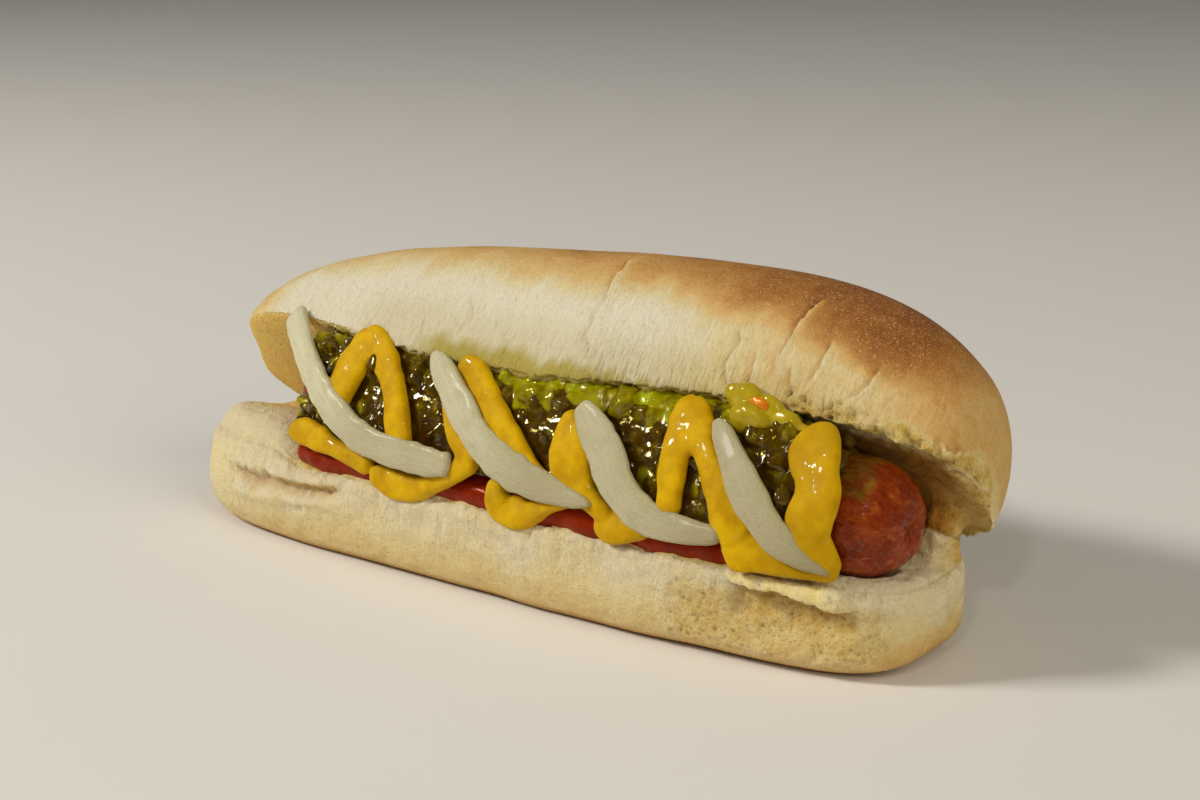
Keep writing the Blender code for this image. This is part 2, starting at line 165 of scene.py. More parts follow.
# Where the pale side gives way to crust: x and rise.
CRUST_LINE = (
    (-82, 6.5), (-59, 14.5), (-37, 17.6), (-20, 20.0), (-3, 19.0), (12, 18.6), (21, 20.8),
    (31, 20.6), (40, 18.6), (52, 18.2), (63, 15.8), (74, 12.3), (82, 9.2),
)
# How brown the crown is: x and bake.
CROWN_BAKE = (
    (-82, 0.50), (-55, 0.44), (-30, 0.48), (-14, 0.54), (-3, 0.72), (12, 0.58), (26, 0.68), (38, 0.82),
    (56, 0.98), (68, 0.93), (77, 0.56), (84, 0.28),
)
# Wrinkles in the front of the upper half, each a step up towards +X: x and rise of its points, reach, height.
WRINKLES = (
    (((12.5, 28), (13.8, 17.6), (14.4, 9.5), (16.6, 6.0)), 2.4, 1.0),
    (((52.7, 27), (51.6, 22), (51.1, 19), (50.9, 16), (50.8, 12.5)), 2.2, 1.1),
    (((42.0, 17.6), (43.1, 14.3), (42.3, 10.4), (42.8, 8.5), (45.2, 5.2)), 1.8, 0.9),
    (((46.7, 13.8), (47.5, 8.4), (48.0, 6.5)), 1.5, 0.8),
    (((57.8, 18.6), (58.0, 15.3), (57.6, 12.7), (57.3, 10.3)), 1.8, 0.9),
    (((53.5, 13.0), (54.7, 7.4), (55.3, 5.0)), 1.5, 0.9),
    (((66.9, 15.9), (66.2, 13.0), (64.0, 8.9)), 1.8, 0.9),
    (((50.2, 13.8), (51.3, 9.6)), 1.2, 0.6),
    (((-14.2, 12.6), (-12.5, 10.4), (-10.7, 8.0)), 1.0, 0.5),
)
# The crack in the front of the lower half: x and height over the table of its points, width, depth.
LOWER_CRACK = (((-63.0, 10.8), (-56, 10.2), (-45.8, 12.0), (-38, 12.8), (-31.5, 13.8)), 1.0, 1.5)
TORN_RISE = 9.4  # how far over the slit the upper lip is torn at the near end
# The lower edge of the torn flap at the lower half's lip: x and height over the table.
FLAP_EDGE = ((51.5, 15.0), (56.2, 14.3), (62.5, 14.1), (66.4, 12.9), (70.1, 12.2), (74.5, 12.4))
# Torn crumb that still holds the halves together by the hinge at the near end: middle and radii.
CRUMB_WEBS = (((75.0, 6.5, 21.0), (4.2, 5.0, 6.5)), ((69.0, 8.5, 20.5), (8.0, 5.0, 5.5)))


# ---- numbers


def ease(value):
    value = np.clip(value, 0, 1)
    return value * value * (3 - 2 * value)


def within(value, low, high, soft):
    """1 from low to high, falling to 0 over soft beyond them."""
    return ease((value - low) / soft + 1) * ease((high - value) / soft + 1)


def along_table(x, table):
    return np.interp(x, *np.transpose(table))


def signed_power(value, power):
    return np.sign(value) * np.abs(value) ** power


def super_fall(along, exponent):
    return np.maximum(0, 1 - np.abs(along) ** exponent) ** (1 / exponent)


def stacked(*columns):
    return np.stack(np.broadcast_arrays(*columns), axis=-1)


def unit(vectors):
    return vectors / np.maximum(np.linalg.norm(vectors, axis=-1, keepdims=True), 1e-9)


def full_turn(count):
    return np.linspace(0, 2 * np.pi, count, endpoint=False)


def end_to_end(count):
    """From -1 to 1, closer together towards both."""
    return np.sin(np.linspace(-np.pi / 2, np.pi / 2, count))


def run_along(points):
    """How far along a line of points each is."""
    return np.concatenate(([0], np.cumsum(np.linalg.norm(np.diff(points, axis=0), axis=1))))


def tree_of(points):
    """Finds the nearest of these points to another."""
    tree = KDTree(len(points))
    for i, point in enumerate(points):
        tree.insert(point, i)
    tree.balance()
    return tree


class Grain:
    """Smooth lumps that are the same in every run."""

    def __init__(self, seed):
        self.table = np.random.default_rng(seed).uniform(-1, 1, 4096)

    def corner(self, cell):
        index = cell[:, 0] * 73856093 ^ cell[:, 1] * 19349663 ^ cell[:, 2] * 83492791
        return self.table[index & 4095]

    def lumps(self, points, size, octaves=1):
        """About -1 to 1, with a lump about every size, which may differ from axis to axis."""
        scaled = points / np.array(size, float)
        total, strength = np.zeros(len(points)), 1.0
        for _ in range(octaves):
            cell = np.floor(scaled).astype(np.int64)
            part = ease(scaled - cell)
            for step in itertools.product((0, 1), repeat=3):
                weight = np.prod(np.where(step, part, 1 - part), axis=1)
                total += strength * weight * self.corner(cell + step)
            scaled = scaled * 2.03 + 17.3
            strength /= 2
        return total

    def holes(self, points, size, radius):
        """1 at the middle of scattered holes about size apart, and 0 beyond their radius, as a part of size."""
        scaled = points / np.array(size, float)
        cell = np.floor(scaled).astype(np.int64)
        nearest = np.full(len(points), 9.0)
        for step in itertools.product((-1, 0, 1), repeat=3):
            home = cell + step
            jitter = stacked(self.corner(home), self.corner(home + 57), self.corner(home + 101))
            away = np.linalg.norm(scaled - home - 0.5 - 0.45 * jitter, axis=1)
            nearest = np.minimum(nearest, away)
        return 1 - ease(nearest / radius)


def line_distance(spots, line):
    """(distance from a line of points, how far along it from 0 to 1) of flat places."""
    line = np.array(line, float)
    nearest, where = np.full(len(spots), 1e9), np.zeros(len(spots))
    for i, (start, stop) in enumerate(zip(line, line[1:])):
        run = stop - start
        part = np.clip((spots - start) @ run / (run @ run), 0, 1)
        away = np.linalg.norm(spots - start - part[:, None] * run, axis=1)
        where = np.where(away < nearest, (i + part) / (len(line) - 1), where)
        nearest = np.minimum(nearest, away)
    return nearest, where


# ---- the roll's and the fillings' shapes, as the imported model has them


def lower_lip(x):
    along = np.clip(np.abs(x) / (LENGTH / 2), 0, 1)
    return LOWER_WIDTH / 2 * super_fall(along, LOWER_PLAN), LOWER_HEIGHT - LOWER_END_DROP * along**4


def along_upper(x):
    return (x - UPPER_SHIFT[0]) / (UPPER_LENGTH / 2)


def upper_shape(along):
    half_width = UPPER_WIDTH / 2 * super_fall(along, UPPER_PLAN)
    height = UPPER_HEIGHT * (1 + UPPER_TAPER * along) * super_fall(along, UPPER_SIDE)
    arch = LIP_ARCH[0] * ease((-along - 0.2) / 0.7) + LIP_ARCH[1] * ease((along + 0.1) / 0.7)
    start = np.arcsin(np.minimum(arch / np.maximum(height, 1e-6), 0.9) ** (UPPER_SECTION / 2))
    return half_width, height, start


def behind_lip(x, out):
    """How far a shut place is behind the upper half's front."""
    return out + upper_shape(np.clip(along_upper(x), -1, 1))[0]


def torn_top(x):
    return TORN_RISE - 0.6 * ease((x - 62) / 8)


def opened(along, y, rise):
    angle = OPENING + OPENING_TWIST * along
    out = y + UPPER_SHIFT[1] - HINGE_Y
    return stacked(
        UPPER_SHIFT[0] + UPPER_LENGTH / 2 * along,
        HINGE_Y + out * np.cos(angle) + rise * np.sin(angle),
        HINGE_Z - out * np.sin(angle) + rise * np.cos(angle),
    )


def shut_of_upper(points):
    """Turns places on the opened upper half back to where they were in the shut roll."""
    along = along_upper(points[:, 0])
    angle = OPENING + OPENING_TWIST * along
    back, up = points[:, 1] - HINGE_Y, points[:, 2] - HINGE_Z
    out = back * np.cos(angle) - up * np.sin(angle) + HINGE_Y - UPPER_SHIFT[1]
    return stacked(points[:, 0], out, back * np.sin(angle) + up * np.cos(angle))


def upper_lip(x):
    along = np.clip(along_upper(x), -0.999, 0.999)
    half_width, height, start = upper_shape(along)
    power = 2 / UPPER_SECTION
    return opened(along, -half_width * np.cos(start) ** power, height * np.sin(start) ** power)


def mouth_frame(x):
    """The lower and the upper end of the fillings' face at x, and the direction out of it."""
    half_width, height = lower_lip(x)
    low = stacked(x, -half_width + LOWER_LIP_INSET, height + GAP)
    high = upper_lip(x)
    across = unit(high - stacked(x, -half_width, height))
    out = stacked(0 * x, -across[..., 2], across[..., 1])
    return low, high + np.array((0, UPPER_LIP_INSET, -GAP)), out


def on_face(x, height, lift=0.0):
    """A place on the fillings' face: height 0 at the lower lip and 1 at the upper, and lift out of the face."""
    x, height, lift = np.broadcast_arrays(np.asarray(x, float), height, lift)
    low, high, out = mouth_frame(x)
    start, stop = END_BULGE_SPAN
    bulge = FILLING_BULGE + END_BULGE * ease((x - start) / (stop - start))
    bulge = bulge * np.maximum(4 * height * (1 - height), 0) ** 0.8
    return low + (high - low) * height[..., None] + out * (bulge + lift)[..., None]


def sausage_axis(x):
    along = (x - sum(SAUSAGE_ENDS) / 2) / (SAUSAGE_ENDS[1] - SAUSAGE_ENDS[0]) * 2
    return stacked(x, SAUSAGE_Y - SAUSAGE_BOW * along**2, SAUSAGE_Z - SAUSAGE_TILT * along)


# ---- meshes


def skin(rows, start=0):
    """Points and faces of a closed skin through rings of equal length."""
    count, around = rows.shape[:2]
    index = start + np.arange(count * around).reshape(count, around)
    turned = np.roll(index, -1, axis=1)
    quads = np.stack((index[:-1], turned[:-1], turned[1:], index[1:]), axis=-1).reshape(-1, 4)
    first, last = start + count * around, start + count * around + 1
    caps = [(first, b, a) for a, b in zip(index[0], turned[0])]
    caps += [(last, a, b) for a, b in zip(index[-1], turned[-1])]
    points = np.vstack((rows.reshape(-1, 3), rows[0].mean(axis=0), rows[-1].mean(axis=0)))
    return points, quads.tolist() + caps


def make_piece(name, points, faces, finish):
    data = bpy.data.meshes.new(name)
    data.from_pydata((np.asarray(points) * MM).tolist(), [], faces)
    data.update()
    piece = bpy.data.objects.new(name, data)
    bpy.context.scene.collection.objects.link(piece)
    data.materials.append(finish)
    return piece


def make_skins(name, finish, *skins):
    """One piece from several closed skins, which may run into each other."""
    points, faces = np.empty((0, 3)), []
    for rows in skins:
        more, sides = skin(rows, len(points))
        points = np.vstack((points, more))
        faces += sides
    return make_piece(name, points, faces, finish)


def settled(piece, *modifiers):
    """Applies modifiers, each given as its type and settings."""
    for kind, settings in modifiers:
        modifier = piece.modifiers.new(kind, kind)
        for key, value in settings.items():
            setattr(modifier, key, value)
    graph = bpy.context.evaluated_depsgraph_get()
    data = bpy.data.meshes.new_from_object(piece.evaluated_get(graph))
    looks = list(piece.data.materials)
    piece.modifiers.clear()
    piece.data = data
    data.materials.clear()
    for look in looks:
        data.materials.append(look)


def places(piece):
    points = np.empty(len(piece.data.vertices) * 3, np.float32)
    piece.data.vertices.foreach_get("co", points)
    return points.reshape(-1, 3).astype(float) / MM


def directions(piece):
    normals = np.empty(len(piece.data.vertices) * 3, np.float32)
    piece.data.vertices.foreach_get("normal", normals)
    return normals.reshape(-1, 3).astype(float)


def melted(piece, voxel, rounds):
    """Joins a piece's skins into one smooth skin. Gives the places and directions of its points."""
    join = ("REMESH", {"mode": "VOXEL", "voxel_size": voxel * MM})
    settled(piece, join, ("SMOOTH", {"factor": 0.5, "iterations": rounds}))
    return places(piece), directions(piece)


def put(piece, points):
    """Moves a piece's points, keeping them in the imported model's box."""
    low, high = (np.array(corner) / MM for corner in cad_box)
    points = np.clip(points, low + BOX_MARGIN, high - BOX_MARGIN)
    piece.data.vertices.foreach_set("co", (points * MM).astype(np.float32).ravel())
    piece.data.update()


def mark(piece, name, values):
    values = np.asarray(values, np.float32)
    kind, field = ("FLOAT_VECTOR", "vector") if values.ndim == 2 else ("FLOAT", "value")
    layer = piece.data.attributes.new(name, kind, "POINT")
    layer.data.foreach_set(field, values.ravel())


def hand_in(piece, slot, *nodes):
    piece.data.shade_smooth()
    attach(piece, "root")
    if nodes:
        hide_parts(*nodes)


# ---- finishes


class Wire:
    """A value that varies over a surface. Sums with it add Math nodes to its finish."""

    def __init__(self, finish, socket):
        self.finish = finish
        self.socket = socket

    def sum(self, operation, first, second):
        return self.finish.node("ShaderNodeMath", {"operation": operation}, {0: first, 1: second})

    def __add__(self, other):
        return self.sum("ADD", self, other)

    def __sub__(self, other):
        return self.sum("SUBTRACT", self, other)

    def __rsub__(self, other):
        return self.sum("SUBTRACT", other, self)

    def __mul__(self, other):
        return self.sum("MULTIPLY", self, other)

    __radd__ = __add__
    __rmul__ = __mul__


class Finish:
    """A material: numbers that are the same all over on its shader, and nodes for what varies."""

    def __init__(self, name, fixed):
        self.material = bpy.data.materials.new(name)
        self.material.use_nodes = True
        self.tree = self.material.node_tree
        self.shader = self.tree.nodes["Principled BSDF"]
        for socket, value in fixed.items():
            self.shader.inputs[socket].default_value = value

    def node(self, kind, settings, sockets, output=0):
        made = self.tree.nodes.new(kind)
        for key, value in settings.items():
            if key == "stops":
                self.set_stops(made.color_ramp.elements, value)
            else:
                setattr(made, key, value)
        for key, value in sockets.items():
            if isinstance(value, Wire):
                self.tree.links.new(value.socket, made.inputs[key])
            else:
                made.inputs[key].default_value = value
        return Wire(self, made.outputs[output])

    @staticmethod
    def set_stops(elements, stops):
        while len(elements) < len(stops):
            elements.new(1.0)
        for element, (position, colour) in zip(elements, stops):
            element.position = position
            element.color = (*colour, 1)

    def feed(self, socket, wire):
        self.tree.links.new(wire.socket, self.shader.inputs[socket])

    def marks(self, name):
        return self.node("ShaderNodeAttribute", {"attribute_name": name}, {}, "Fac")

    def shut_place(self):
        return self.node("ShaderNodeAttribute", {"attribute_name": "shut"}, {}, "Vector")

    def place(self):
        """The place on the piece in millimetres."""
        metres = self.node("ShaderNodeTexCoord", {}, {}, "Object")
        return self.node("ShaderNodeVectorMath", {"operation": "SCALE"}, {0: metres, "Scale": 1 / MM})

    def grain(self, place, size, detail=2.0, roughness=0.5):
        """Noise from 0 to 1 with lumps of that size, which may differ from axis to axis."""
        sizes = (size, size, size) if isinstance(size, (int, float)) else size
        scaled = self.node("ShaderNodeVectorMath", {"operation": "DIVIDE"}, {0: place, 1: sizes})
        return self.node(
            "ShaderNodeTexNoise", {}, {"Vector": scaled, "Scale": 1.0, "Detail": detail, "Roughness": roughness}
        )

    def cells(self, place, size, output="Distance"):
        return self.node("ShaderNodeTexVoronoi", {}, {"Vector": place, "Scale": 1 / size}, output)

    def between(self, value, low, high):
        """0 at low and 1 at high, eased."""
        sockets = {"Value": value, "From Min": low, "From Max": high}
        return self.node("ShaderNodeMapRange", {"interpolation_type": "SMOOTHSTEP"}, sockets)

    def ramp(self, value, *stops):
        return self.node("ShaderNodeValToRGB", {"stops": stops}, {"Fac": value})

    def blend(self, amount, first, second, way="MIX"):
        first, second = ((*c, 1) if isinstance(c, tuple) else c for c in (first, second))
        sockets = {"Factor": amount, "A": first, "B": second}
        return self.node("ShaderNodeMix", {"data_type": "RGBA", "blend_type": way}, sockets, "Result")

    def layers(self, colour, *layers):
        """A colour under others, each given as its amount and itself."""
        for amount, over in layers:
            colour = self.blend(amount, colour, over)
        return colour

    def bump(self, height, depth, under=None):
        """Relief of that depth in millimetres, over another relief."""
        sockets = {"Height": height, "Strength": 1.0, "Distance": depth * MM}
        if under:
            sockets["Normal"] = under
        return self.node("ShaderNodeBump", {}, sockets)


def bread_finish():
    bread = Finish("soft bread", {
        "Specular IOR Level": 0.3,
        "Subsurface Weight": 0.12,
        "Subsurface Radius": (1.0, 0.6, 0.25),
        "Subsurface Scale": 2.0 * MM,
    })
    shut = bread.shut_place()
    names = ("bake", "crumb", "stain", "blush", "hollow", "tuft", "flap")
    bake, crumb, stain, blush, hollow, tuft, flap = (bread.marks(name) for name in names)

    fibres = bread.grain(shut, (0.7, 3.5, 4.0), 4.0, 0.65)
    patches = bread.grain(shut, 11.0, 3.0)
    cloud = bread.grain(shut, 2.6, 4.0, 0.65)
    specks = bread.grain(shut, 0.42, 2.0, 0.6)
    pores = bread.cells(shut, 0.8)
    unbaked = 1 - bread.between(bake, 0.12, 0.45)

    tone = bake + (patches - 0.5) * (bake + 0.2) * 0.3 + (cloud - 0.5) * (bake + 0.15) * 0.45
    colour = bread.ramp(
        tone + (specks - 0.5) * bake * 0.4,
        (0.0, (0.86, 0.80, 0.595)),
        (0.16, (0.83, 0.70, 0.38)),
        (0.34, (0.74, 0.52, 0.21)),
        (0.55, (0.62, 0.34, 0.095)),
        (0.78, (0.46, 0.19, 0.036)),
        (1.0, (0.30, 0.10, 0.017)),
    )
    fine = bread.grain(shut, (0.5, 0.9, 1.0), 3.0, 0.7)
    colour = bread.blend(bread.between(fibres, 0.5, 0.8) * unbaked * 0.5, colour, (0.86, 0.83, 0.70))
    colour = bread.blend(bread.between(fibres, 0.48, 0.25) * unbaked * 0.35, colour, (0.62, 0.48, 0.24))
    colour = bread.blend(bread.between(fine, 0.5, 0.3) * 0.4, colour, (0.74, 0.62, 0.42), "MULTIPLY")
    inside = bread.blend(bread.between(cloud, 0.35, 0.65), (0.73, 0.47, 0.09), (0.90, 0.70, 0.27))
    # Painted shade: the crumb is darker in its pores, where the bump carves pits.
    inside = bread.blend(bread.between(pores, 0.4, 0.1) * 0.4 * (1 - tuft), inside, (0.64, 0.42, 0.13))
    # White torn crumb, lightened further as painted light where it lies in shade.
    inside = bread.blend(tuft * 0.9, inside, (0.98, 0.85, 0.55))
    blisters = bread.between(bread.grain(shut, 0.36, 1.0), 0.56, 0.68) * bread.between(bake, 0.35, 0.8)
    colour = bread.layers(
        # The golden mark is painted light: orange bounce light on the far end's cut faces.
        colour, (crumb, inside), (bread.marks("golden"), (1.0, 0.64, 0.13)), (blisters * 0.6, (0.85, 0.55, 0.24))
    )
    # Painted shade: darkens the creases, pits, the crack, the recess under the flap and the mouth's deep inside.
    colour = bread.blend(hollow * 0.95, colour, (0.55, 0.28, 0.012), "MULTIPLY")
    colour = bread.layers(
        # The flap mark also carries painted light: the far end of the lower wall lightened to a bright yellow.
        colour, (stain, (0.46, 0.35, 0.012)), (blush, (0.46, 0.14, 0.06)), (flap, (1.0, 0.82, 0.34))
    )
    bread.feed("Base Color", colour)
    bread.feed("Roughness", 0.8 - flap * 0.3 - bread.between(bake, 0.3, 1.0) * 0.25 - stain * 0.4 - blush * 0.3)

    relief = bread.grain(shut, (0.6, 1.6, 2.0), 4.0, 0.7) * unbaked * (1 - crumb)
    relief = relief + bread.grain(shut, (0.8, 6.0, 4.5), 3.0, 0.6) * bread.marks("gather") * 2.2
    relief = relief + bread.grain(shut, 1.2, 5.0, 0.75) * (0.7 + crumb)
    normal = bread.bump(relief - bread.between(pores, 0.4, 0.05) * crumb * (0.55 - tuft * 0.4), 0.75)
    crackle = bread.grain(shut, 1.1, 5.0, 0.7)
    normal = bread.bump((crackle + blisters * 0.6) * bread.between(bake, 0.25, 0.8), 0.3, normal)
    bread.feed("Normal", normal)
    return bread.material


def sausage_finish():
    meat = Finish("cooked sausage skin", {
        "Specular IOR Level": 0.5,
        "Specular Tint": (1.0, 0.4, 0.12, 1.0),
        "Subsurface Weight": 0.25,
        "Subsurface Radius": (1.0, 0.25, 0.1),
        "Subsurface Scale": 3.0 * MM,
        "Coat Roughness": 0.04,
    })
    place = meat.place()
    cloud = meat.grain(place, (7.0, 3.0, 3.0), 4.0, 0.6)
    wrinkle = meat.grain(place, (3.0, 1.1, 1.1), 3.0, 0.6)
    pucker = meat.marks("pucker")
    skin_red = meat.ramp(
        cloud, (0.3, (0.15, 0.010, 0.0006)), (0.5, (0.22, 0.021, 0.001)), (0.72, (0.35, 0.052, 0.002))
    )
    film = meat.marks("film") * (0.3 + meat.between(wrinkle, 0.4, 0.58) * 0.8)
    meat.feed("Base Color", meat.layers(
        skin_red,
        (meat.between(wrinkle, 0.53, 0.72) * 0.4, (0.58, 0.15, 0.022)),
        (pucker * 0.4, (0.50, 0.12, 0.035)),
        (film, meat.blend(cloud, (0.12, 0.05, 0.001), (0.26, 0.18, 0.004))),
    ))
    fine = meat.grain(place, (1.6, 0.7, 0.7), 4.0, 0.65)
    meat.feed("Roughness", 0.1 + cloud * 0.12)
    meat.feed("Coat Weight", meat.between(fine, 0.45, 0.58) * 0.5 + 0.08)
    meat.feed("Normal", meat.bump(wrinkle + fine * (0.6 + pucker), 0.8))
    return meat.material


def ketchup_finish():
    sauce = Finish("ketchup", {
        "Specular IOR Level": 0.16,
        "Specular Tint": (1.0, 0.25, 0.05, 1.0),
        "Subsurface Weight": 0.2,
        "Subsurface Radius": (1.0, 0.12, 0.04),
        "Subsurface Scale": 1.2 * MM,
        "Coat Weight": 0.07,
        "Coat Roughness": 0.04,
    })
    place = sauce.place()
    thick = sauce.grain(place, 3.0, 3.0, 0.6)
    sauce.feed("Base Color", sauce.blend(thick, (0.12, 0.006, 0.0003), (0.34, 0.024, 0.0004)))
    sauce.feed("Roughness", 0.16 + thick * 0.16)
    sauce.feed("Normal", sauce.bump(sauce.grain(place, 1.4, 2.0), 0.22))
    return sauce.material


def relish_finish():
    pickle = Finish("diced pickle in syrup", {
        "Specular IOR Level": 0.3,
        "Specular Tint": (1.0, 0.85, 0.15, 1.0),
        "Subsurface Weight": 0.5,
        "Subsurface Radius": (1.0, 0.9, 0.06),
        "Subsurface Scale": 1.8 * MM,
        "Coat Roughness": 0.02,
    })
    place = pickle.place()
    cloud = pickle.grain(place, 1.3, 3.0, 0.6)
    colour = pickle.ramp(
        pickle.marks("ripeness") + (cloud - 0.5) * 0.4,
        (0.0, (0.038, 0.012, 0.0002)),
        (0.25, (0.085, 0.045, 0.0004)),
        (0.5, (0.34, 0.30, 0.001)),
        (0.75, (0.30, 0.31, 0.002)),
        (1.0, (0.41, 0.47, 0.009)),
    )
    pickle.feed("Base Color", colour)
    pickle.feed("Roughness", 0.06 + cloud * 0.14)
    pickle.feed("Coat Weight", pickle.between(pickle.grain(place, 2.0, 1.0), 0.44, 0.54) * 0.8)
    pickle.feed("Normal", pickle.bump(pickle.grain(place, 1.0, 2.0), 0.16))
    return pickle.material


def mustard_finish():
    sauce = Finish("mustard", {
        "Specular IOR Level": 0.22,
        "Specular Tint": (1.0, 0.8, 0.2, 1.0),
        "Subsurface Weight": 0.12,
        "Subsurface Radius": (1.0, 0.5, 0.03),
        "Subsurface Scale": 1.2 * MM,
        "Coat Roughness": 0.05,
    })
    place = sauce.place()
    cloud = sauce.grain(place, 3.5, 3.0, 0.55)
    grit = sauce.grain(place, 0.35, 1.0)
    colour = sauce.blend(sauce.between(cloud, 0.3, 0.7), (0.52, 0.275, 0.001), (0.70, 0.42, 0.002))
    sauce.feed("Base Color", sauce.layers(
        colour,
        (sauce.between(grit, 0.66, 0.76) * 0.5, (0.38, 0.19, 0.01)),
        # Painted shade on the wide stroke at the near end, with random darker tone elsewhere.
        (sauce.marks("deep") * 0.6, (0.40, 0.22, 0.004)),
    ))
    sauce.feed("Roughness", 0.46 + cloud * 0.2)
    sauce.feed("Coat Weight", sauce.between(sauce.grain(place, 1.5), 0.56, 0.64) * 0.3)
    sauce.feed("Normal", sauce.bump(cloud + 0.25 * grit, 0.22))
    return sauce.material


def onion_finish():
    onion = Finish("raw onion", {
        "Specular IOR Level": 0.35,
        "Subsurface Weight": 0.45,
        "Subsurface Radius": (1.0, 0.95, 0.6),
        "Subsurface Scale": 2.2 * MM,
        "Coat Weight": 0.1,
        "Coat Roughness": 0.15,
    })
    length, across = onion.marks("run"), onion.marks("across")
    place = onion.place()
    lines = onion.node("ShaderNodeCombineXYZ", {}, {"X": length * 0.08, "Y": across * 1.5, "Z": 0.0})
    veins = onion.node("ShaderNodeTexNoise", {}, {"Vector": lines, "Scale": 1.6, "Detail": 3.0, "Roughness": 0.6})
    cloud = onion.grain(place, 4.0, 3.0, 0.6)
    grit = onion.grain(place, 0.5, 3.0, 0.7)
    colour = onion.blend(onion.between(veins, 0.2, 0.8), (0.63, 0.58, 0.35), (0.73, 0.69, 0.47))
    onion.feed("Base Color", onion.layers(
        colour,
        (onion.between(grit, 0.55, 0.75) * 0.3, (0.45, 0.40, 0.22)),
        (onion.between(cloud, 0.45, 0.75) * 0.3, (0.42, 0.38, 0.19)),
        # Darker towards each tail, and painted shade making each later strip darker.
        (onion.between(length, 18.0, 38.0) * 0.5 + onion.marks("aged"), (0.37, 0.31, 0.16)),
        # Painted shade on one flank of each strip.
        ((1 - onion.between(across, -2.6, 0.2)) * 0.35, (0.42, 0.40, 0.19)),
    ))
    onion.feed("Roughness", 0.36 + cloud * 0.25)
    onion.feed("Normal", onion.bump(veins * 0.6 + grit, 0.4))
    return onion.material


def pepper_finish():
    pepper = Finish("pickled pepper", {
        "Subsurface Weight": 0.3,
        "Subsurface Scale": 1.0 * MM,
        "Specular Tint": (1.0, 0.6, 0.2, 1.0),
        "Coat Weight": 0.1,
        "Coat Roughness": 0.08,
    })
    cloud = pepper.grain(pepper.place(), 1.2, 3.0)
    pepper.feed("Base Color", pepper.blend(cloud, (0.58, 0.14, 0.003), (0.74, 0.26, 0.008)))
    pepper.feed("Roughness", 0.2 + cloud * 0.2)
    return pepper.material


def jelly_finish():
    jelly = Finish("pickle jelly", {
        "Specular Tint": (1.0, 0.9, 0.4, 1.0),
        "Subsurface Weight": 0.4,
        "Subsurface Radius": (1.0, 0.85, 0.2),
        "Subsurface Scale": 1.5 * MM,
        "Coat Weight": 0.3,
        "Coat Roughness": 0.04,
    })
    cloud = jelly.grain(jelly.place(), 1.8, 3.0)
    jelly.feed("Base Color", jelly.blend(cloud, (0.30, 0.20, 0.003), (0.55, 0.42, 0.01)))
    jelly.feed("Roughness", 0.14 + cloud * 0.15)
    return jelly.material


# ---- the roll


def even(ring, count):
    """The same closed ring with its points spaced evenly."""
    closed = np.vstack((ring, ring[:1]))
    run = run_along(closed[:, :3])
    at = np.linspace(0, run[-1], count, endpoint=False)
    return np.stack([np.interp(at, run, column) for column in closed.T], axis=1)


def half_rows(outside):
    """Rings of one half from the rings of its outside, closed across its cut. A fourth number is 1 on the cut."""
    rows = []
    back_to_front = np.linspace(0, 1, 40)[1:-1, None]
    for ring in outside:
        cut = ring[-1] + (ring[0] - ring[-1]) * back_to_front
        ring = np.hstack((ring, np.zeros((len(ring), 1))))
        rows.append(even(np.vstack((ring, np.hstack((cut, np.ones((len(cut), 1)))))), BUN_COUNT))
    return np.array(rows)


def lower_rows():
    along = end_to_end(BUN_ROWS)[:, None]
    angle = np.linspace(0, np.pi, ARC_COUNT)
    y = -LOWER_WIDTH / 2 * super_fall(along, LOWER_PLAN) * signed_power(np.cos(angle), 2 / LOWER_SECTION)
    depth = (LOWER_HEIGHT + 0.8) * super_fall(along, LOWER_SIDE)
    z = np.maximum(LOWER_HEIGHT - depth * np.abs(np.sin(angle)) ** (2 / LOWER_SECTION), 0)
    z = z - LOWER_END_DROP * along**4 * z / LOWER_HEIGHT
    return half_rows(stacked(LENGTH / 2 * along, y, z))


def upper_rows():
    along = end_to_end(BUN_ROWS)[:, None]
    half_width, height, start = upper_shape(along)
    angle = start + (np.pi - start) * np.linspace(0, 1, ARC_COUNT)
    out = -half_width * signed_power(np.cos(angle), 2 / UPPER_SECTION)
    rise = height * np.abs(np.sin(angle)) ** (2 / UPPER_SECTION)
    pinch = BACK_PINCH * half_width / (UPPER_WIDTH / 2) * np.maximum(1 - 2 * rise / UPPER_HEIGHT, 0) ** 2
    return half_rows(opened(along, np.where(out > 0, out - pinch, out), rise))


def ball_rows(heart, radii):
    turn = np.linspace(0.03, np.pi - 0.03, 24)[:, None]
    spin = full_turn(32)
    ball = stacked(-np.cos(turn), np.sin(turn) * np.cos(spin), np.sin(turn) * np.sin(spin))
    return np.array(heart) + ball * np.array(radii)


class BreadMap:
    """Where each point of the bun is on the shut roll: which half, how far on the cut, and the shut place."""

    def __init__(self, lower, upper):
        samples = np.vstack((lower.reshape(-1, 4), upper.reshape(-1, 4)))
        self.on_upper = np.arange(len(samples)) >= lower.shape[0] * lower.shape[1]
        self.on_cut = samples[:, 3]
        self.tree = tree_of(samples[:, :3])

    def read(self, points):
        nearest = np.array([self.tree.find(point)[1] for point in points.tolist()])
        upper, cut = self.on_upper[nearest], self.on_cut[nearest]
        as_lower = points - np.array((0, 0, LOWER_HEIGHT))
        shut = np.where(upper[:, None], shut_of_upper(points), as_lower)
        return upper.astype(float), cut, shut


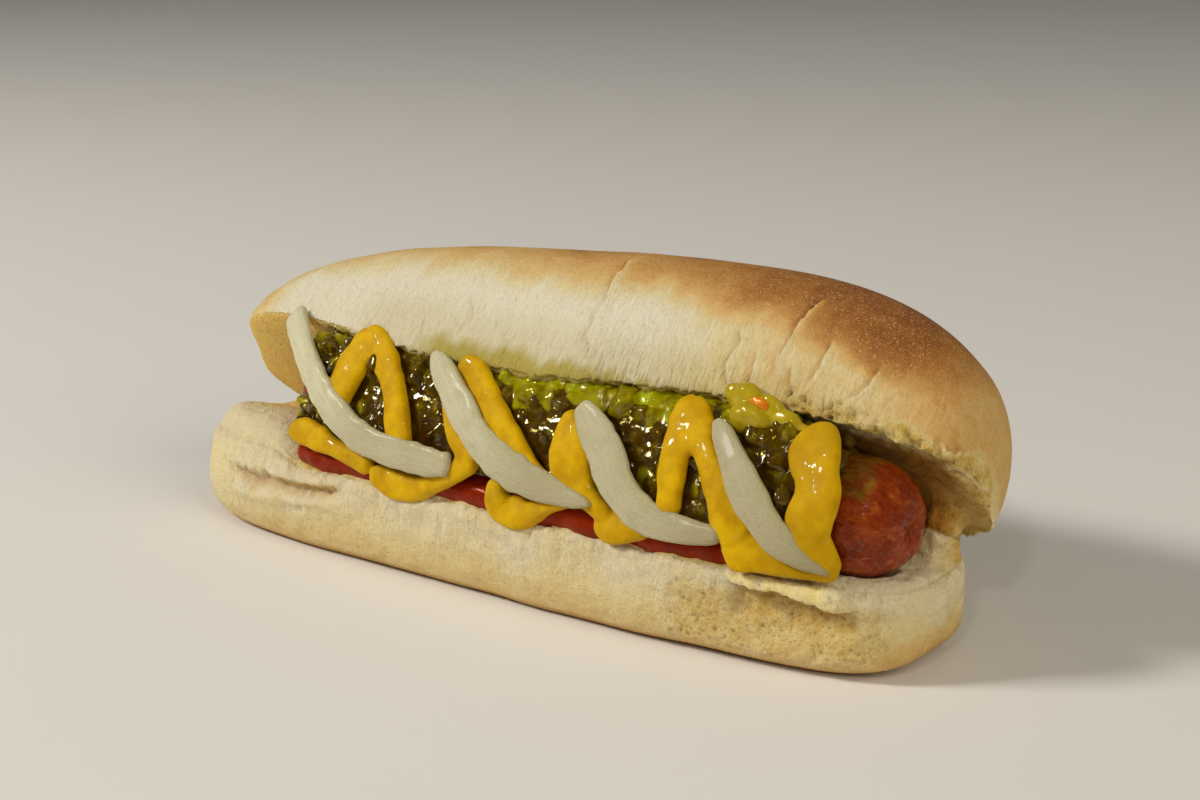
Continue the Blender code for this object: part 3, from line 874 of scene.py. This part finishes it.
def wrinkle(flat, line, reach, height):
    """(how a wrinkle moves the skin, the painted shade in its crease, how pale its raised rim is) at flat places."""
    away, where = line_distance(flat, line)
    line_x, line_rise = np.transpose(line[::-1])
    side = (flat[:, 0] - np.interp(flat[:, 1], line_rise, line_x)) * np.minimum(away / 0.3 + 0.2, 1)
    fade = ease(where / 0.15 + 0.3) * ease((1 - where) / 0.3 + 0.15)
    raised = ease(side / 0.35 + 0.5)
    step = 0.6 * raised * np.exp(-away / reach) - 0.7 * (1 - raised) * np.exp(-away / (0.45 * reach))
    hollow = (1 - raised) * np.exp(-away / 0.5)
    rim = raised * np.exp(-away / (0.45 * reach))
    return height * fade * step, fade * hollow, fade * rim


def groove(flat, line, width, depth):
    """(depth of a crease, ridge beside it) at flat places."""
    away, where = line_distance(flat, line)
    fade = ease(where / 0.12 + 0.35) * ease((1 - where) / 0.3 + 0.15)
    ridge = depth * 0.4 * np.exp(-(((away - 2.1 * width) / width) ** 2)) * fade
    return depth * np.exp(-((away / width) ** 2)) * fade, ridge


def shape_bread(points, upper, cut, shut):
    """The relief of the roll: (how far each point moves out, how much painted shade darkens it in creases, pits, the
    crack, under the flap and deep in the mouth).
    """
    grain = [Grain(seed) for seed in range(20, 32)]
    x, out, rise = shut.T
    lower, front, outside = 1 - upper, ease(-out / 6), 1 - cut
    height = rise + LOWER_HEIGHT
    side = outside * upper * (1 - ease((rise - along_table(x, CRUST_LINE)) / 9 + 0.4)) * ease(np.abs(out) / 6)
    move = 0.5 * grain[0].lumps(points, 27) + 0.25 * grain[1].lumps(points, 11) * outside

    streaky = 0.35 + 0.65 * ease(0.5 + grain[1].lumps(shut, (9, 9, 7), 2))
    fibres = grain[2].lumps(shut, (1.3, 5, 5), 2)
    puckers = grain[3].lumps(shut, (3.6, 14, 10), 2)
    near_lip = ease(1.25 - rise / 13)
    gathered = 0.3 + 0.7 * within(x, 20, 60, 12) * ease(0.6 + 1.2 * grain[8].lumps(shut, (7, 9, 7)))
    turns = x / 2.1 + 0.9 * grain[9].lumps(shut, (8, 9, 9)) + 0.5 * grain[10].lumps(shut, (3, 9, 4))
    part = turns - np.floor(turns)
    gathers = ease(part / 0.18) * (1 - part)
    move += side * (streaky * (0.2 * fibres + 0.35 * puckers * near_lip) + 1.0 * gathers * near_lip * gathered)

    move += 0.5 * side * ease((5 - x) / 25) * grain[11].lumps(shut, (6, 30, 14))

    # Painted shade, gathered from the wrinkles' creases, torn holes, the deep mouth by the sausage, pits, the crack and
    # under the flap.
    hollow = np.zeros(len(points))
    bent = stacked(x + 0.5 * grain[4].lumps(points, 2.2) + 0.15 * grain[5].lumps(points, 0.9), rise)
    for line, reach, depth in WRINKLES:
        step, dark, _ = wrinkle(bent, line, reach, depth)
        move += upper * outside * front * step
        hollow += 0.42 * upper * outside * front * dark

    torn_height = torn_top(x)
    tear = upper * outside * front * within(x, 57, 84, 5) * ease((torn_height - rise + 1.8 * puckers) / 1.6)
    crumbly = grain[5].lumps(points, 1.5, 2)
    holes = grain[6].holes(points, 2.2, 0.5)
    move += tear * (1.2 * crumbly - 1.3 * holes - 0.2)
    move -= 0.8 * upper * within(x, 57, 84, 5) * outside * front * ease((torn_height - 1 - rise) / 3.5)

    lip_rough = np.exp(-((rise - upper * 1.0 + lower * 0.5) / 1.8) ** 2) * outside
    move += lip_rough * 0.4 * grain[7].lumps(points, 1.7, 2)

    smooth_end = 0.2 + 0.8 * ease((x + 50) / 8)
    inner = behind_lip(x, out)
    torn_rim = ease(1.5 - inner / 4)
    coarse = smooth_end * (0.3 + 0.7 * np.maximum(torn_rim, lower * (1 - ease((x - 62) / 5))))
    move += (2.8 - 1.8 * upper) * cut * within(x, -70, -60, 12) * np.maximum(1 - (out / 20) ** 2, 0)
    move += cut * coarse * (0.35 * grain[8].lumps(points, 3.4, 2) + 0.45 * crumbly - 0.6 * holes)
    by_sausage = ease(1.6 - distance_to_sausage(points) / 5)
    deep = ease((inner - 2.5) / 4)
    hollow += cut * upper * (0.3 * holes * coarse + ease((x - 40) / 15) * deep * (0.35 + 0.55 * by_sausage))
    move -= 1.5 * cut * upper * within(x, 58, 76, 6) * ease(1.4 - distance_to_sausage(points) / 8)
    tufts = lower * ease((x - 62) / 6) * ease((rise + 2.5) / 2)
    move += tufts * (0.7 * grain[5].lumps(points, 2.6, 2) + 0.7 * ease(-out / 6))

    wall = lower * outside * ease((height - 1.0) / 2.5)
    torn_wall = 0.15 + 0.85 * within(x, 44, 71, 12)
    ribs = within(x, -80, -50, 14) * ease((height - 3) / 6)
    soft = 0.3 * grain[9].lumps(points, 2.4, 3) + 0.3 * fibres * ease((height - 6) / 6)
    move += wall * (soft + 1.1 * ribs * grain[3].lumps(shut, (3.4, 30, 14)))
    pits = np.maximum(grain[10].holes(points, (1.7, 1.7, 2.1), 0.42), 0.7 * grain[11].holes(points, 1.05, 0.42))
    pits = pits * wall * torn_wall * front
    move -= 0.6 * pits
    hollow += 0.14 * pits

    crack, ridge = groove(stacked(x + 0.6 * crumbly, height + 0.35 * crumbly), *LOWER_CRACK)
    move += (ridge - crack) * wall * front
    hollow += 0.4 * np.maximum(crack - 0.2, 0) * wall * front

    edge = along_table(x, FLAP_EDGE) + 0.4 * grain[4].lumps(points, 1.8)
    under = lower * outside * front * within(x, 54, 69, 4)
    cave = under * ease((edge - height) / 0.5) * ease((height - 3.0) / 8)
    flap = under * ease((height - edge) / 0.4) * ease((LOWER_HEIGHT + 1.5 - height) / 4)
    move += 1.4 * flap - 1.8 * cave
    hollow += 0.55 * cave * np.exp(-(((edge - height) / 1.6) ** 2))
    return move, np.clip(hollow, 0, 1)


def round_lower_lip(points, lower):
    """Rounds the lower half's lip, a little at the near end and like a pillow at the far end."""
    x, y, z = points.T
    p, long, wide = LOWER_PLAN, LENGTH / 2, LOWER_WIDTH / 2
    spread = (np.abs(x) / long) ** p + (np.abs(y) / wide) ** p
    slope = stacked(signed_power(x, p - 1) / long**p, signed_power(y, p - 1) / wide**p)
    slope = slope * np.maximum(spread, 1e-6)[:, None] ** (1 / p - 1)
    steep = np.maximum(np.linalg.norm(slope, axis=1), 1e-6)
    inside = (1 - spread ** (1 / p)) / steep
    radius = 2.6 + 6.4 * ease((-34 - x) / 24)
    top = LOWER_HEIGHT - LOWER_END_DROP * (x / long) ** 4 + 0.8 * ease((-50 - x) / 20)
    side, up = np.maximum(1 - inside / radius, 0), np.maximum(1 - (top - z) / radius, 0)
    square = np.maximum(side, up) / np.maximum(np.hypot(side, up), 1e-6)
    shift = (square - 1) * radius * lower * ((side > 0) & (up > 0))
    moved = points.copy()
    moved[:, :2] += (slope / steep[:, None]) * (shift * side)[:, None]
    moved[:, 2] += shift * up
    moved[:, 2] += 3.2 * lower * ease((-44 - x) / 10) * ease((4 - y) / 14) * ease((z - 6) / 10)
    return moved


def colour_bread(piece, bread_map):
    """Marks what the bread's finish reads: bake, crumb, stain and other looks, and the shut place."""
    points, normals = places(piece), directions(piece)
    upper, cut, shut = bread_map.read(points)
    grain = [Grain(seed) for seed in range(50, 56)]
    x, out, rise = shut.T
    lower, outside, height = 1 - upper, 1 - cut, rise + LOWER_HEIGHT
    ragged = grain[0].lumps(shut, (4.0, 9, 9), 3)
    front = ease(0.5 - out / 8)
    crust_line = along_table(x, CRUST_LINE) * front + (1 - front) * 13 + 1.6 * ragged
    crown = along_table(x, CROWN_BAKE) + 0.12 * grain[1].lumps(points, 13, 2)
    bake = upper * crown * (ease((rise - crust_line) / 11 + 0.45) * 0.8 + 0.2 * ease((rise - crust_line - 4) / 8))
    golden = 0.2 * ease((x - 22) / 30) + 0.15 * ease((x - 66) / 14) + 0.32 * ease((-60 - x) / 14)
    bake = np.maximum(bake, upper * golden * ease((rise + 2) / 8)) + upper * 0.35 * golden * ease(rise / 9)
    for line, reach, depth in WRINKLES:
        _, dark, rim = wrinkle(stacked(x, rise), line, reach, depth)
        # Painted shade: the crust is browned in each wrinkle's crease.
        bake += upper * outside * front * bake * (0.5 * dark - 0.8 * rim)
    base = lower * outside * ease((4.5 - height + 1.2 * grain[2].lumps(points, 4, 2)) / 4.5)
    underneath = lower * ease((-normals[:, 2] - 0.5) / 0.4)
    corner = lower * outside * ease((x - 68) / 10) * ease((12 - height + 2 * grain[2].lumps(points, 4)) / 9)
    face = lower * outside * (0.05 + 0.22 * ease((13 - height) / 11) * ease((x + 90) / 40) + 0.07 * ragged)
    edge = along_table(x, FLAP_EDGE)
    cave = lower * outside * front * within(x, 55, 70, 4) * ease((edge - height) / 0.8) * ease((height - 4) / 6)
    foot = 0.62 * lower * outside * ease((2.6 - height) / 1.6)
    bake = np.maximum.reduce((bake, 0.36 * base, foot, 0.62 * underneath, 0.5 * corner, face, 0.36 * cave))
    torn_height = torn_top(x) - 0.2
    torn = upper * outside * within(x, 57, 84, 6) * front * ease((torn_height - rise + 1.6 * ragged) / 1.8)
    wall = lower * outside * ease((height - 2) / 4) * ease((15.5 - height) / 4) * within(x, 44, 72, 10) * front
    wall = np.maximum(wall * 0.7, 0.24 * lower * outside)
    far_end = cut * ease((-44 - x) / 7)
    crest = lower * far_end * ease(-(out + 2) / 8)
    crumb = np.maximum.reduce((cut * (1 - (0.8 - 0.65 * upper) * far_end), torn, wall))
    mark(piece, "crumb", np.clip(crumb, 0, 1))
    bake = np.maximum(bake, (0.24 + 0.05 * upper - 0.16 * crest) * far_end)
    mark(piece, "bake", np.clip(bake, 0, 1) * (1 - 0.9 * torn))
    streaks = grain[5].lumps(shut, (1.6, 12, 12), 2)
    juice = within(x, -14, 44, 14) * ease((6.4 - rise + 0.9 * ragged + 1.2 * streaks) / 4.5)
    juice = np.maximum(juice, 0.28 * within(x, -30, 52, 16) * ease((14 - rise + ragged) / 8))
    mark(piece, "gather", upper * outside * front * ease(1.25 - rise / 14) * (0.3 + 0.7 * within(x, 20, 62, 10)))
    juice = np.maximum(juice, within(x, 40, 58, 5) * ease((7.0 - rise + 1.6 * ragged) / 4))
    soaked = cut * ease((9 - np.abs(out + 20)) / 4) * within(x, -45, 58, 6)
    stain = upper * np.maximum(juice * outside * front, 0.8 * soaked)
    mark(piece, "stain", np.clip(stain, 0, 1) * 0.88)
    tip = within(x, 62, 80, 4) * lower * np.maximum(cut, outside * ease((rise + 1.2) / 1.2)) * ease(-out / 5)
    mark(piece, "blush", np.clip(tip * (0.4 + 0.5 * grain[3].lumps(points, 2.0, 2)), 0, 1) * 0.07)
    inner = behind_lip(x, out)
    # Painted light: the upper cut's rim at the near end is lightened where it lies in shade.
    rim = 0.4 * upper * cut * within(x, 60, 84, 6) * ease(1.4 - inner / 4)
    # White torn crumb on the lower lip at the near end, lightened further as painted light.
    mark(piece, "tuft", np.maximum(rim, lower * cut * ease((x - 56) / 6) * ease(0.9 - out / 9)))
    flap = lower * outside * front * within(x, 53, 67, 4) * ease((height - edge) / 0.6)
    # Painted light: the far end of the lower half's wall lightened, as if more strongly lit.
    pillow = 0.45 * lower * outside * ease((-58 - x) / 12) * ease((height - 4) / 6)
    flap *= 0.9 * ease(0.7 + grain[4].lumps(points, 3, 2))
    mark(piece, "flap", np.maximum(pillow, flap))
    # Painted light: the orange of bounce light on the far end's cut faces.
    mark(piece, "golden", np.clip(0.7 * upper * far_end + 0.35 * (lower * far_end - crest), 0, 1))
    mark(piece, "shut", shut)


def make_bun():
    lower, upper = lower_rows(), upper_rows()
    bread_map = BreadMap(lower, upper)
    webs = [ball_rows(*web) for web in CRUMB_WEBS]
    bun = make_skins("soft_bun", bread_finish(), lower[..., :3], upper[..., :3], *webs)
    points, normals = melted(bun, BUN_VOXEL, 60)
    upper_half, cut, shut = bread_map.read(points)
    move, hollow = shape_bread(points, upper_half, cut, shut)
    points = round_lower_lip(points + normals * move[:, None], 1 - upper_half)
    points[:, 2] = np.where(points[:, 2] < 0.6, np.maximum(points[:, 2], TABLE_MARGIN), points[:, 2])
    put(bun, clear_of_sausage(points))
    # painted shade for creases, pits, the crack, under the flap and deep in the mouth
    mark(bun, "hollow", hollow)
    triangles = 2 * len(bun.data.polygons)
    settled(bun, ("DECIMATE", {"ratio": min(1.0, MOST_TRIANGLES / triangles)}))
    colour_bread(bun, bread_map)
    hand_in(bun, "bread", "bun")


def sausage_heart(points):
    x = np.clip(points[:, 0], SAUSAGE_ENDS[0] + SAUSAGE_RADIUS, SAUSAGE_ENDS[1] - SAUSAGE_RADIUS)
    return sausage_axis(x)


def distance_to_sausage(points):
    return np.linalg.norm(points - sausage_heart(points), axis=1) - SAUSAGE_RADIUS


def clear_of_sausage(points):
    """Presses the bread back to leave room for the sausage."""
    heart = sausage_heart(points)
    away = points - heart
    far = np.linalg.norm(away, axis=1, keepdims=True)
    pressed = heart + away / np.maximum(far, 1e-6) * (SAUSAGE_RADIUS + GAP)
    return np.where(far < SAUSAGE_RADIUS + GAP, pressed, points)


# ---- the fillings


def make_sausage():
    first, last = SAUSAGE_ENDS
    turn = np.linspace(0, np.pi / 2, 44)
    cap, size = SAUSAGE_RADIUS * (1 - np.cos(turn)), SAUSAGE_RADIUS * np.sin(turn)
    body = np.linspace(first + SAUSAGE_RADIUS, last - SAUSAGE_RADIUS, 150)[1:-1]
    x = np.concatenate((first + cap, body, (last - cap)[::-1]))
    size = np.concatenate((size, np.full(len(body), SAUSAGE_RADIUS), size[::-1]))
    angle = full_turn(144)
    heart = sausage_axis(x)[:, None]
    round_it = stacked(0 * angle, np.cos(angle), np.sin(angle))
    rows = heart + round_it * size[:, None, None]
    sausage = make_skins("sausage_in_skin", sausage_finish(), rows)
    points, normals = places(sausage), directions(sausage)
    lengthwise, blister = Grain(70), Grain(71)
    middle = np.clip(points[:, 0], first + SAUSAGE_RADIUS, last - SAUSAGE_RADIUS)
    from_axis = points - sausage_axis(points[:, 0])
    radius, spin = np.linalg.norm(from_axis[:, 1:], axis=1), np.arctan2(from_axis[:, 2], from_axis[:, 1])
    at_end = ease(np.abs(points[:, 0] - middle) / SAUSAGE_RADIUS)
    around = stacked(points[:, 0] / 9, 3 * np.cos(spin), 3 * np.sin(spin))
    move = -0.22 * np.abs(lengthwise.lumps(around * 2.4, 1.0, 2)) - 0.25 * (1 + blister.lumps(points, 9, 2)) * 0.5
    knot = np.exp(-((radius / 2.1) ** 2)) * at_end
    folds = np.cos(9 * spin + 2 * blister.lumps(points, 4)) * np.exp(-((radius / 4.2) ** 2))
    folds *= np.minimum(radius / 1.5, 1)
    move -= at_end * (0.4 * (1 + folds) * np.exp(-((radius / 5) ** 2))) + 1.7 * knot
    move += 0.26 * at_end * blister.lumps(points, 1.8, 2)
    put(sausage, points + normals * move[:, None])
    film = within(points[:, 0] + 2 * blister.lumps(points, 4, 2), 60, 72, 2.0)
    film *= ease((points[:, 2] - SAUSAGE_Z - 4.0 + 2.2 * lengthwise.lumps(points, 4, 2)) / 1.6)
    mark(sausage, "film", 0.7 * film)
    mark(sausage, "pucker", np.clip(at_end * np.exp(-((radius / 3.6) ** 2)) * (0.6 + 0.5 * folds), 0, 1))
    hand_in(sausage, "sausage", "sausage")


def make_ketchup():
    along = end_to_end(190)
    middle = sum(KETCHUP_ENDS) / 2
    x = middle + (KETCHUP_ENDS[1] - middle) * along
    size = np.maximum(super_fall(along, 6), 0.02)
    half_width, height = lower_lip(x)
    heart = stacked(x, -half_width + KETCHUP_SETBACK + 0.6, height + KETCHUP_HEIGHT / 2 - 1.5)
    turn = full_turn(40)
    across = stacked(0 * turn, np.cos(turn) * (KETCHUP_DEPTH / 2 + 0.4), np.sin(turn) * (KETCHUP_HEIGHT / 2 + 0.9))
    ketchup = make_skins("ketchup_line", ketchup_finish(), heart[:, None] + across * size[:, None, None])
    points, normals = places(ketchup), directions(ketchup)
    ripple = Grain(80)
    move = 0.5 * ripple.lumps(points, 6.0) + 0.3 * ripple.lumps(points, 2.4)
    put(ketchup, points + normals * move[:, None])
    hand_in(ketchup, "ketchup", "ketchup")


def relish_core():
    middle = sum(RELISH_ENDS) / 2
    along = end_to_end(120)
    x = middle + (RELISH_ENDS[1] - middle - 1.0) * along
    size = np.maximum(super_fall(along, 9), 0.02)
    heart = sausage_axis(x)
    high = mouth_frame(x)[1]
    inward = unit(stacked(x, HINGE_Y, HINGE_Z) - high)
    columns = [on_face(x, height, -0.5) for height in np.linspace(RELISH_FOOT + 0.02, 0.98, 30)]
    columns += [high + inward * part * (RELISH_BACK - 1) for part in np.linspace(0.1, 1, 8)]
    columns += [heart, stacked(x, heart[:, 1] - 3, columns[0][:, 2])]
    rows = np.stack(columns, axis=1)
    return heart[:, None] + (rows - heart[:, None]) * size[:, None, None]


def rounded_block(cuts=4):
    """Points and faces of a small block with soft edges, 2 across."""
    steps = np.linspace(-1, 1, cuts + 1)
    index, points, faces = {}, [], []

    def corner(place):
        key = tuple(np.round(place, 6))
        if key not in index:
            index[key] = len(points)
            flat = np.array(place)
            points.append(flat / np.sum(np.abs(flat) ** 5) ** 0.2)
        return index[key]

    for axis, sign in itertools.product(range(3), (-1, 1)):
        for i, j in itertools.product(range(cuts), repeat=2):
            square = []
            for u, v in ((i, j), (i + 1, j), (i + 1, j + 1), (i, j + 1)):
                place = [0, 0, 0]
                place[axis] = sign
                place[(axis + 1) % 3], place[(axis + 2) % 3] = steps[u], steps[v]
                square.append(corner(place))
            faces.append(square if sign > 0 else square[::-1])
    return np.array(points), np.array(faces)


def turned(rng, count):
    """Random turns as matrices."""
    q = unit(rng.normal(size=(count, 4)))
    w, x, y, z = q.T
    return np.stack([
        stacked(1 - 2 * (y * y + z * z), 2 * (x * y - z * w), 2 * (x * z + y * w)),
        stacked(2 * (x * y + z * w), 1 - 2 * (x * x + z * z), 2 * (y * z - x * w)),
        stacked(2 * (x * z - y * w), 2 * (y * z + x * w), 1 - 2 * (x * x + y * y)),
    ], axis=1)


def make_relish():
    """A heap of diced pickle held together by its syrup, greenest in a cluster under the upper lip."""
    rng = np.random.default_rng(11)
    count = PICKLE_BITS
    x = rng.uniform(RELISH_ENDS[0] + 1.5, RELISH_ENDS[1] - 1.5, count)
    height = rng.uniform(RELISH_FOOT + 0.02, 0.98, count)
    rim = ease((height - 0.66) / 0.2)
    lift = rng.uniform(-1.9, -0.6, count) + rim * rng.uniform(0.0, 0.8, count) - 0.7 * ease((height - 0.9) / 0.1)
    sizes = rng.uniform(0.8, 1.7, (count, 1)) * (1 + 0.55 * rim[:, None]) * rng.uniform(0.6, 1.1, (count, 3))
    sizes *= 1 - 0.4 * ease((height[:, None] - 0.84) / 0.1)
    sliver = rng.random(count) < 0.2
    sizes[sliver] *= (1.4, 0.5, 0.9)
    block, faces = rounded_block()
    spots = on_face(x, height, lift)
    shaped = np.einsum("nij,nkj->nki", turned(rng, count), block[None] * sizes[:, None]) + spots[:, None]
    points = shaped.reshape(-1, 3)
    points += 0.25 * stacked(*(Grain(seed).lumps(points, 1.6) for seed in (95, 96, 97)))
    core, core_faces = skin(relish_core(), len(points))
    all_faces = (faces[None] + len(block) * np.arange(count)[:, None, None]).reshape(-1, 4)
    relish = make_piece("relish_heap", np.vstack((points, core)), all_faces.tolist() + core_faces, relish_finish())
    points, normals = melted(relish, RELISH_VOXEL, 8)
    ripple = Grain(90)
    put(relish, points + normals * (0.12 * ripple.lumps(points, 1.3, 2))[:, None])
    cluster = within(x, 1, 38, 10) * rim
    ripeness = rng.uniform(0.0, 0.45, count) + rim * rng.uniform(0.05, 0.3, count)
    ripeness = ripeness + cluster * rng.uniform(0.2, 0.55, count)
    tree = tree_of(spots)
    near = [tree.find(point) for point in points.tolist()]
    of_bit = ripeness[[found[1] for found in near]]
    bare = ease((np.array([found[2] for found in near]) - 1.0) / 0.9)
    mark(relish, "ripeness", np.clip(of_bit * (1 - 0.45 * bare), 0, 1))
    hand_in(relish, "relish", "relish")


def curve_through(points, step):
    """A smooth curve through points whose first two numbers are x and height."""
    points = np.array(points, float)
    posts = np.vstack((2 * points[0] - points[1], points, 2 * points[-1] - points[-2]))
    samples = []
    for a, b, c, d in zip(posts, posts[1:], posts[2:], posts[3:]):
        span = math.hypot(c[0] - b[0], (c[1] - b[1]) * MOUTH)
        count = max(1, round(span / step))
        u = np.arange(count)[:, None] / count
        square, cube = 2 * a - 5 * b + 4 * c - d, 3 * b - a - 3 * c + d
        samples.append(0.5 * (2 * b + (c - a) * u + square * u**2 + cube * u**3))
    return np.vstack((*samples, points[-1]))


def bead(stations, thickness, lift, sides, power, blunt):
    """Rings of a flattened bead laid along the fillings' face. Stations hold x, height and width."""
    x, height, width = stations.T
    hearts = on_face(x, height, lift)
    run = run_along(hearts)
    ahead = unit(np.gradient(hearts, axis=0))
    side = unit(np.cross(ahead, mouth_frame(x)[2]))
    out = np.cross(side, ahead)
    close = np.sqrt(np.maximum(1 - (1 - np.minimum(np.minimum(run, run[-1] - run) / blunt, 1)) ** 2, 0.004))
    angle = full_turn(sides)
    across = (width / 2 * close)[:, None, None] * side[:, None] * signed_power(np.cos(angle), 2 / power)[:, None]
    deep = (thickness / 2 * close)[:, None, None] * out[:, None] * signed_power(np.sin(angle), 2 / power)[:, None]
    return hearts[:, None] + across + deep, run


def make_mustard():
    wobble = Grain(100)
    skins = []
    for number, stroke in enumerate(MUSTARD_STROKES):
        stations = curve_through(stroke, MUSTARD_STEP)
        run = stacked(np.arange(len(stations)) * MUSTARD_STEP, 20 * number, stations[:, 0])
        stations[:, 2] *= 0.92 + 0.12 * wobble.lumps(run, (4, 1, 40), 2)
        lift = MUSTARD_LIFT + 1.2 * ease((stations[:, 1] - 0.9) / 0.14)
        skins.append(bead(stations, MUSTARD_THICKNESS, lift, 30, 2.6, 1.9)[0])
    mustard = make_skins("mustard_zigzag", mustard_finish(), *skins)
    points, normals = melted(mustard, MUSTARD_VOXEL, 14)
    lump = Grain(101)
    move = 0.16 * lump.lumps(points, 3.4, 2) + 0.08
    put(mustard, points + normals * move[:, None])
    cloudy = np.clip(0.5 + lump.lumps(points, 5, 2), 0, 1)
    # Random darker tone, plus painted shade over the wide stroke past x = 58 mm.
    mark(mustard, "deep", cloudy * 0.35 + 0.65 * ease((points[:, 0] - 58) / 4))
    hand_in(mustard, "mustard", "mustard")


def make_onions():
    finish = onion_finish()
    for number, strip in enumerate(ONION_STRIPS, 1):
        stations = curve_through(strip, ONION_STEP)
        ragged = Grain(115 + number)
        run = stacked(np.arange(len(stations)) * ONION_STEP, 0.0, 0.0)
        stations[:, 2] *= 1 + 0.07 * ragged.lumps(run, 2.2, 2)
        rows, run = bead(stations, ONION_THICKNESS, ONION_LIFT, ONION_SIDES, 3.2, 1.0)
        onion = make_skins(f"onion_strip_{number}", finish, rows)
        points, normals = places(onion), directions(onion)
        across = np.append(stations[:, 2:] / 2 * np.cos(full_turn(ONION_SIDES)), (0, 0))
        lengthwise = np.append(np.repeat(run, ONION_SIDES), (0, run[-1]))
        rib = Grain(110 + number)
        ribs = 0.02 * rib.lumps(stacked(lengthwise, across, 0 * across), (16, 1.1, 1))
        move = ribs + 0.16 * rib.lumps(points, 4.5, 2)
        put(onion, points + normals * move[:, None])
        # painted shade: each later strip a little darker
        mark(onion, "aged", np.full(len(points), 0.2 * (number - 1)))
        mark(onion, "run", lengthwise)
        mark(onion, "across", across)
        hand_in(onion, "onion", f"onion_{number}")


def on_lip(x, rise, lift):
    """A place on the front of the upper half's shut side, opened with it."""
    along = along_upper(x)
    half_width, height, _ = upper_shape(np.array(along))
    out = -half_width * (1 - (rise / height) ** UPPER_SECTION) ** (1 / UPPER_SECTION) - lift
    return opened(along, out, rise)


def make_jelly():
    """A slip of pickle jelly with a bit of pepper in it, stuck on the upper lip."""
    lumps = [
        ball_rows(on_lip(x, rise, lift), radii)
        for x, rise, lift, radii in (
            (46.5, 5.6, 0.2, (2.4, 1.1, 1.9)), (48.6, 4.6, 0.3, (3.2, 1.4, 3.2)), (50.0, 1.8, 0.7, (3.6, 1.6, 2.6)),
            (52.4, 3.9, 0.2, (3.4, 1.3, 2.8)), (55.6, 2.8, 0.2, (3.4, 1.2, 2.1)), (58.8, 2.3, 0.0, (2.6, 1.0, 1.3)),
        )
    ]
    jelly = make_skins("pickle_jelly", jelly_finish(), *lumps)
    points, normals = melted(jelly, MUSTARD_VOXEL, 12)
    lump = Grain(120)
    put(jelly, points + normals * (0.25 * lump.lumps(points, 2.2, 2) + 0.2)[:, None])
    hand_in(jelly, "relish")
    pepper = make_skins("pepper_bit", pepper_finish(), ball_rows(on_lip(51.4, 4.2, 1.5), (2.0, 0.9, 1.5)))
    points, normals = places(pepper), directions(pepper)
    put(pepper, points + normals * (0.3 * lump.lumps(points, 1.1, 2))[:, None])
    hand_in(pepper, "relish")


# ---- the studio

FLOOR_REACH = 6000.0
CAMERA_AZIMUTH, CAMERA_ELEVATION, CAMERA_DISTANCE = 36.5, 15.0, 0.354
CAMERA_TARGET, LIGHT_TARGET = Vector((0.0112, 0.0, 0.034)), Vector((0.0, 0.0, 0.03))


def make_floor():
    size = FLOOR_REACH
    corners = [(-size, -size, 0), (size, -size, 0), (size, size, 0), (-size, size, 0)]
    paper = Finish("pale paper", {"Roughness": 0.8, "Specular IOR Level": 0.2})
    tone = paper.grain(paper.place(), 60.0, 2.0)
    paper.feed("Base Color", paper.blend(tone, (0.80, 0.775, 0.72), (0.82, 0.795, 0.74)))
    floor = make_piece("floor", corners, [(0, 1, 2, 3)], paper.material)


def aim(name, data, target, azimuth, elevation, distance):
    """Stands a light or camera round a target, facing it. Azimuth is 0 before the slit and grows towards +X."""
    turn, lift = math.radians(azimuth), math.radians(elevation)
    away = Vector((math.sin(turn) * math.cos(lift), -math.cos(turn) * math.cos(lift), math.sin(lift)))
    thing = bpy.data.objects.new(name, data)
    thing.location = target + away * distance
    thing.rotation_euler = away.to_track_quat("Z", "Y").to_euler()
    bpy.context.scene.collection.objects.link(thing)
    return thing


def add_light(name, azimuth, elevation, distance, size, power, colour, glints):
    """A soft square light aimed at the roll. Azimuth is from the camera's side, to its left above 0."""
    data = bpy.data.lights.new(name, "AREA")
    data.shape, data.size, data.energy, data.color = "SQUARE", size, power, colour
    light = aim(name, data, LIGHT_TARGET, CAMERA_AZIMUTH - azimuth, elevation, distance)
    light.visible_glossy = glints


def add_camera():
    data = bpy.data.cameras.new("camera")
    data.lens, data.sensor_width, data.clip_start = 60, 36, 0.01
    camera = aim("camera", data, CAMERA_TARGET, CAMERA_AZIMUTH, CAMERA_ELEVATION, CAMERA_DISTANCE)
    bpy.context.scene.camera = camera


def light_studio():
    add_light("key", 82, 35, 1.5, 0.3, 15.6, (1.0, 0.965, 0.93), True)
    add_light("fill", -40, 32, 1.8, 1.2, 13.5, (1.0, 0.92, 0.78), False)
    add_light("sparkle", 14, 34, 1.5, 0.11, 2.0, (1.0, 0.98, 0.95), True)
    world = bpy.data.worlds.new("studio")
    world.use_nodes = True
    sky = world.node_tree.nodes["Background"].inputs
    sky["Color"].default_value, sky["Strength"].default_value = (1.0, 0.97, 0.92, 1), 0.14
    bpy.context.scene.world = world
    bpy.context.scene.view_settings.view_transform = "Standard"


make_bun()
make_sausage()
make_ketchup()
make_relish()
make_mustard()
make_onions()
make_jelly()
make_floor()
add_camera()
light_studio()
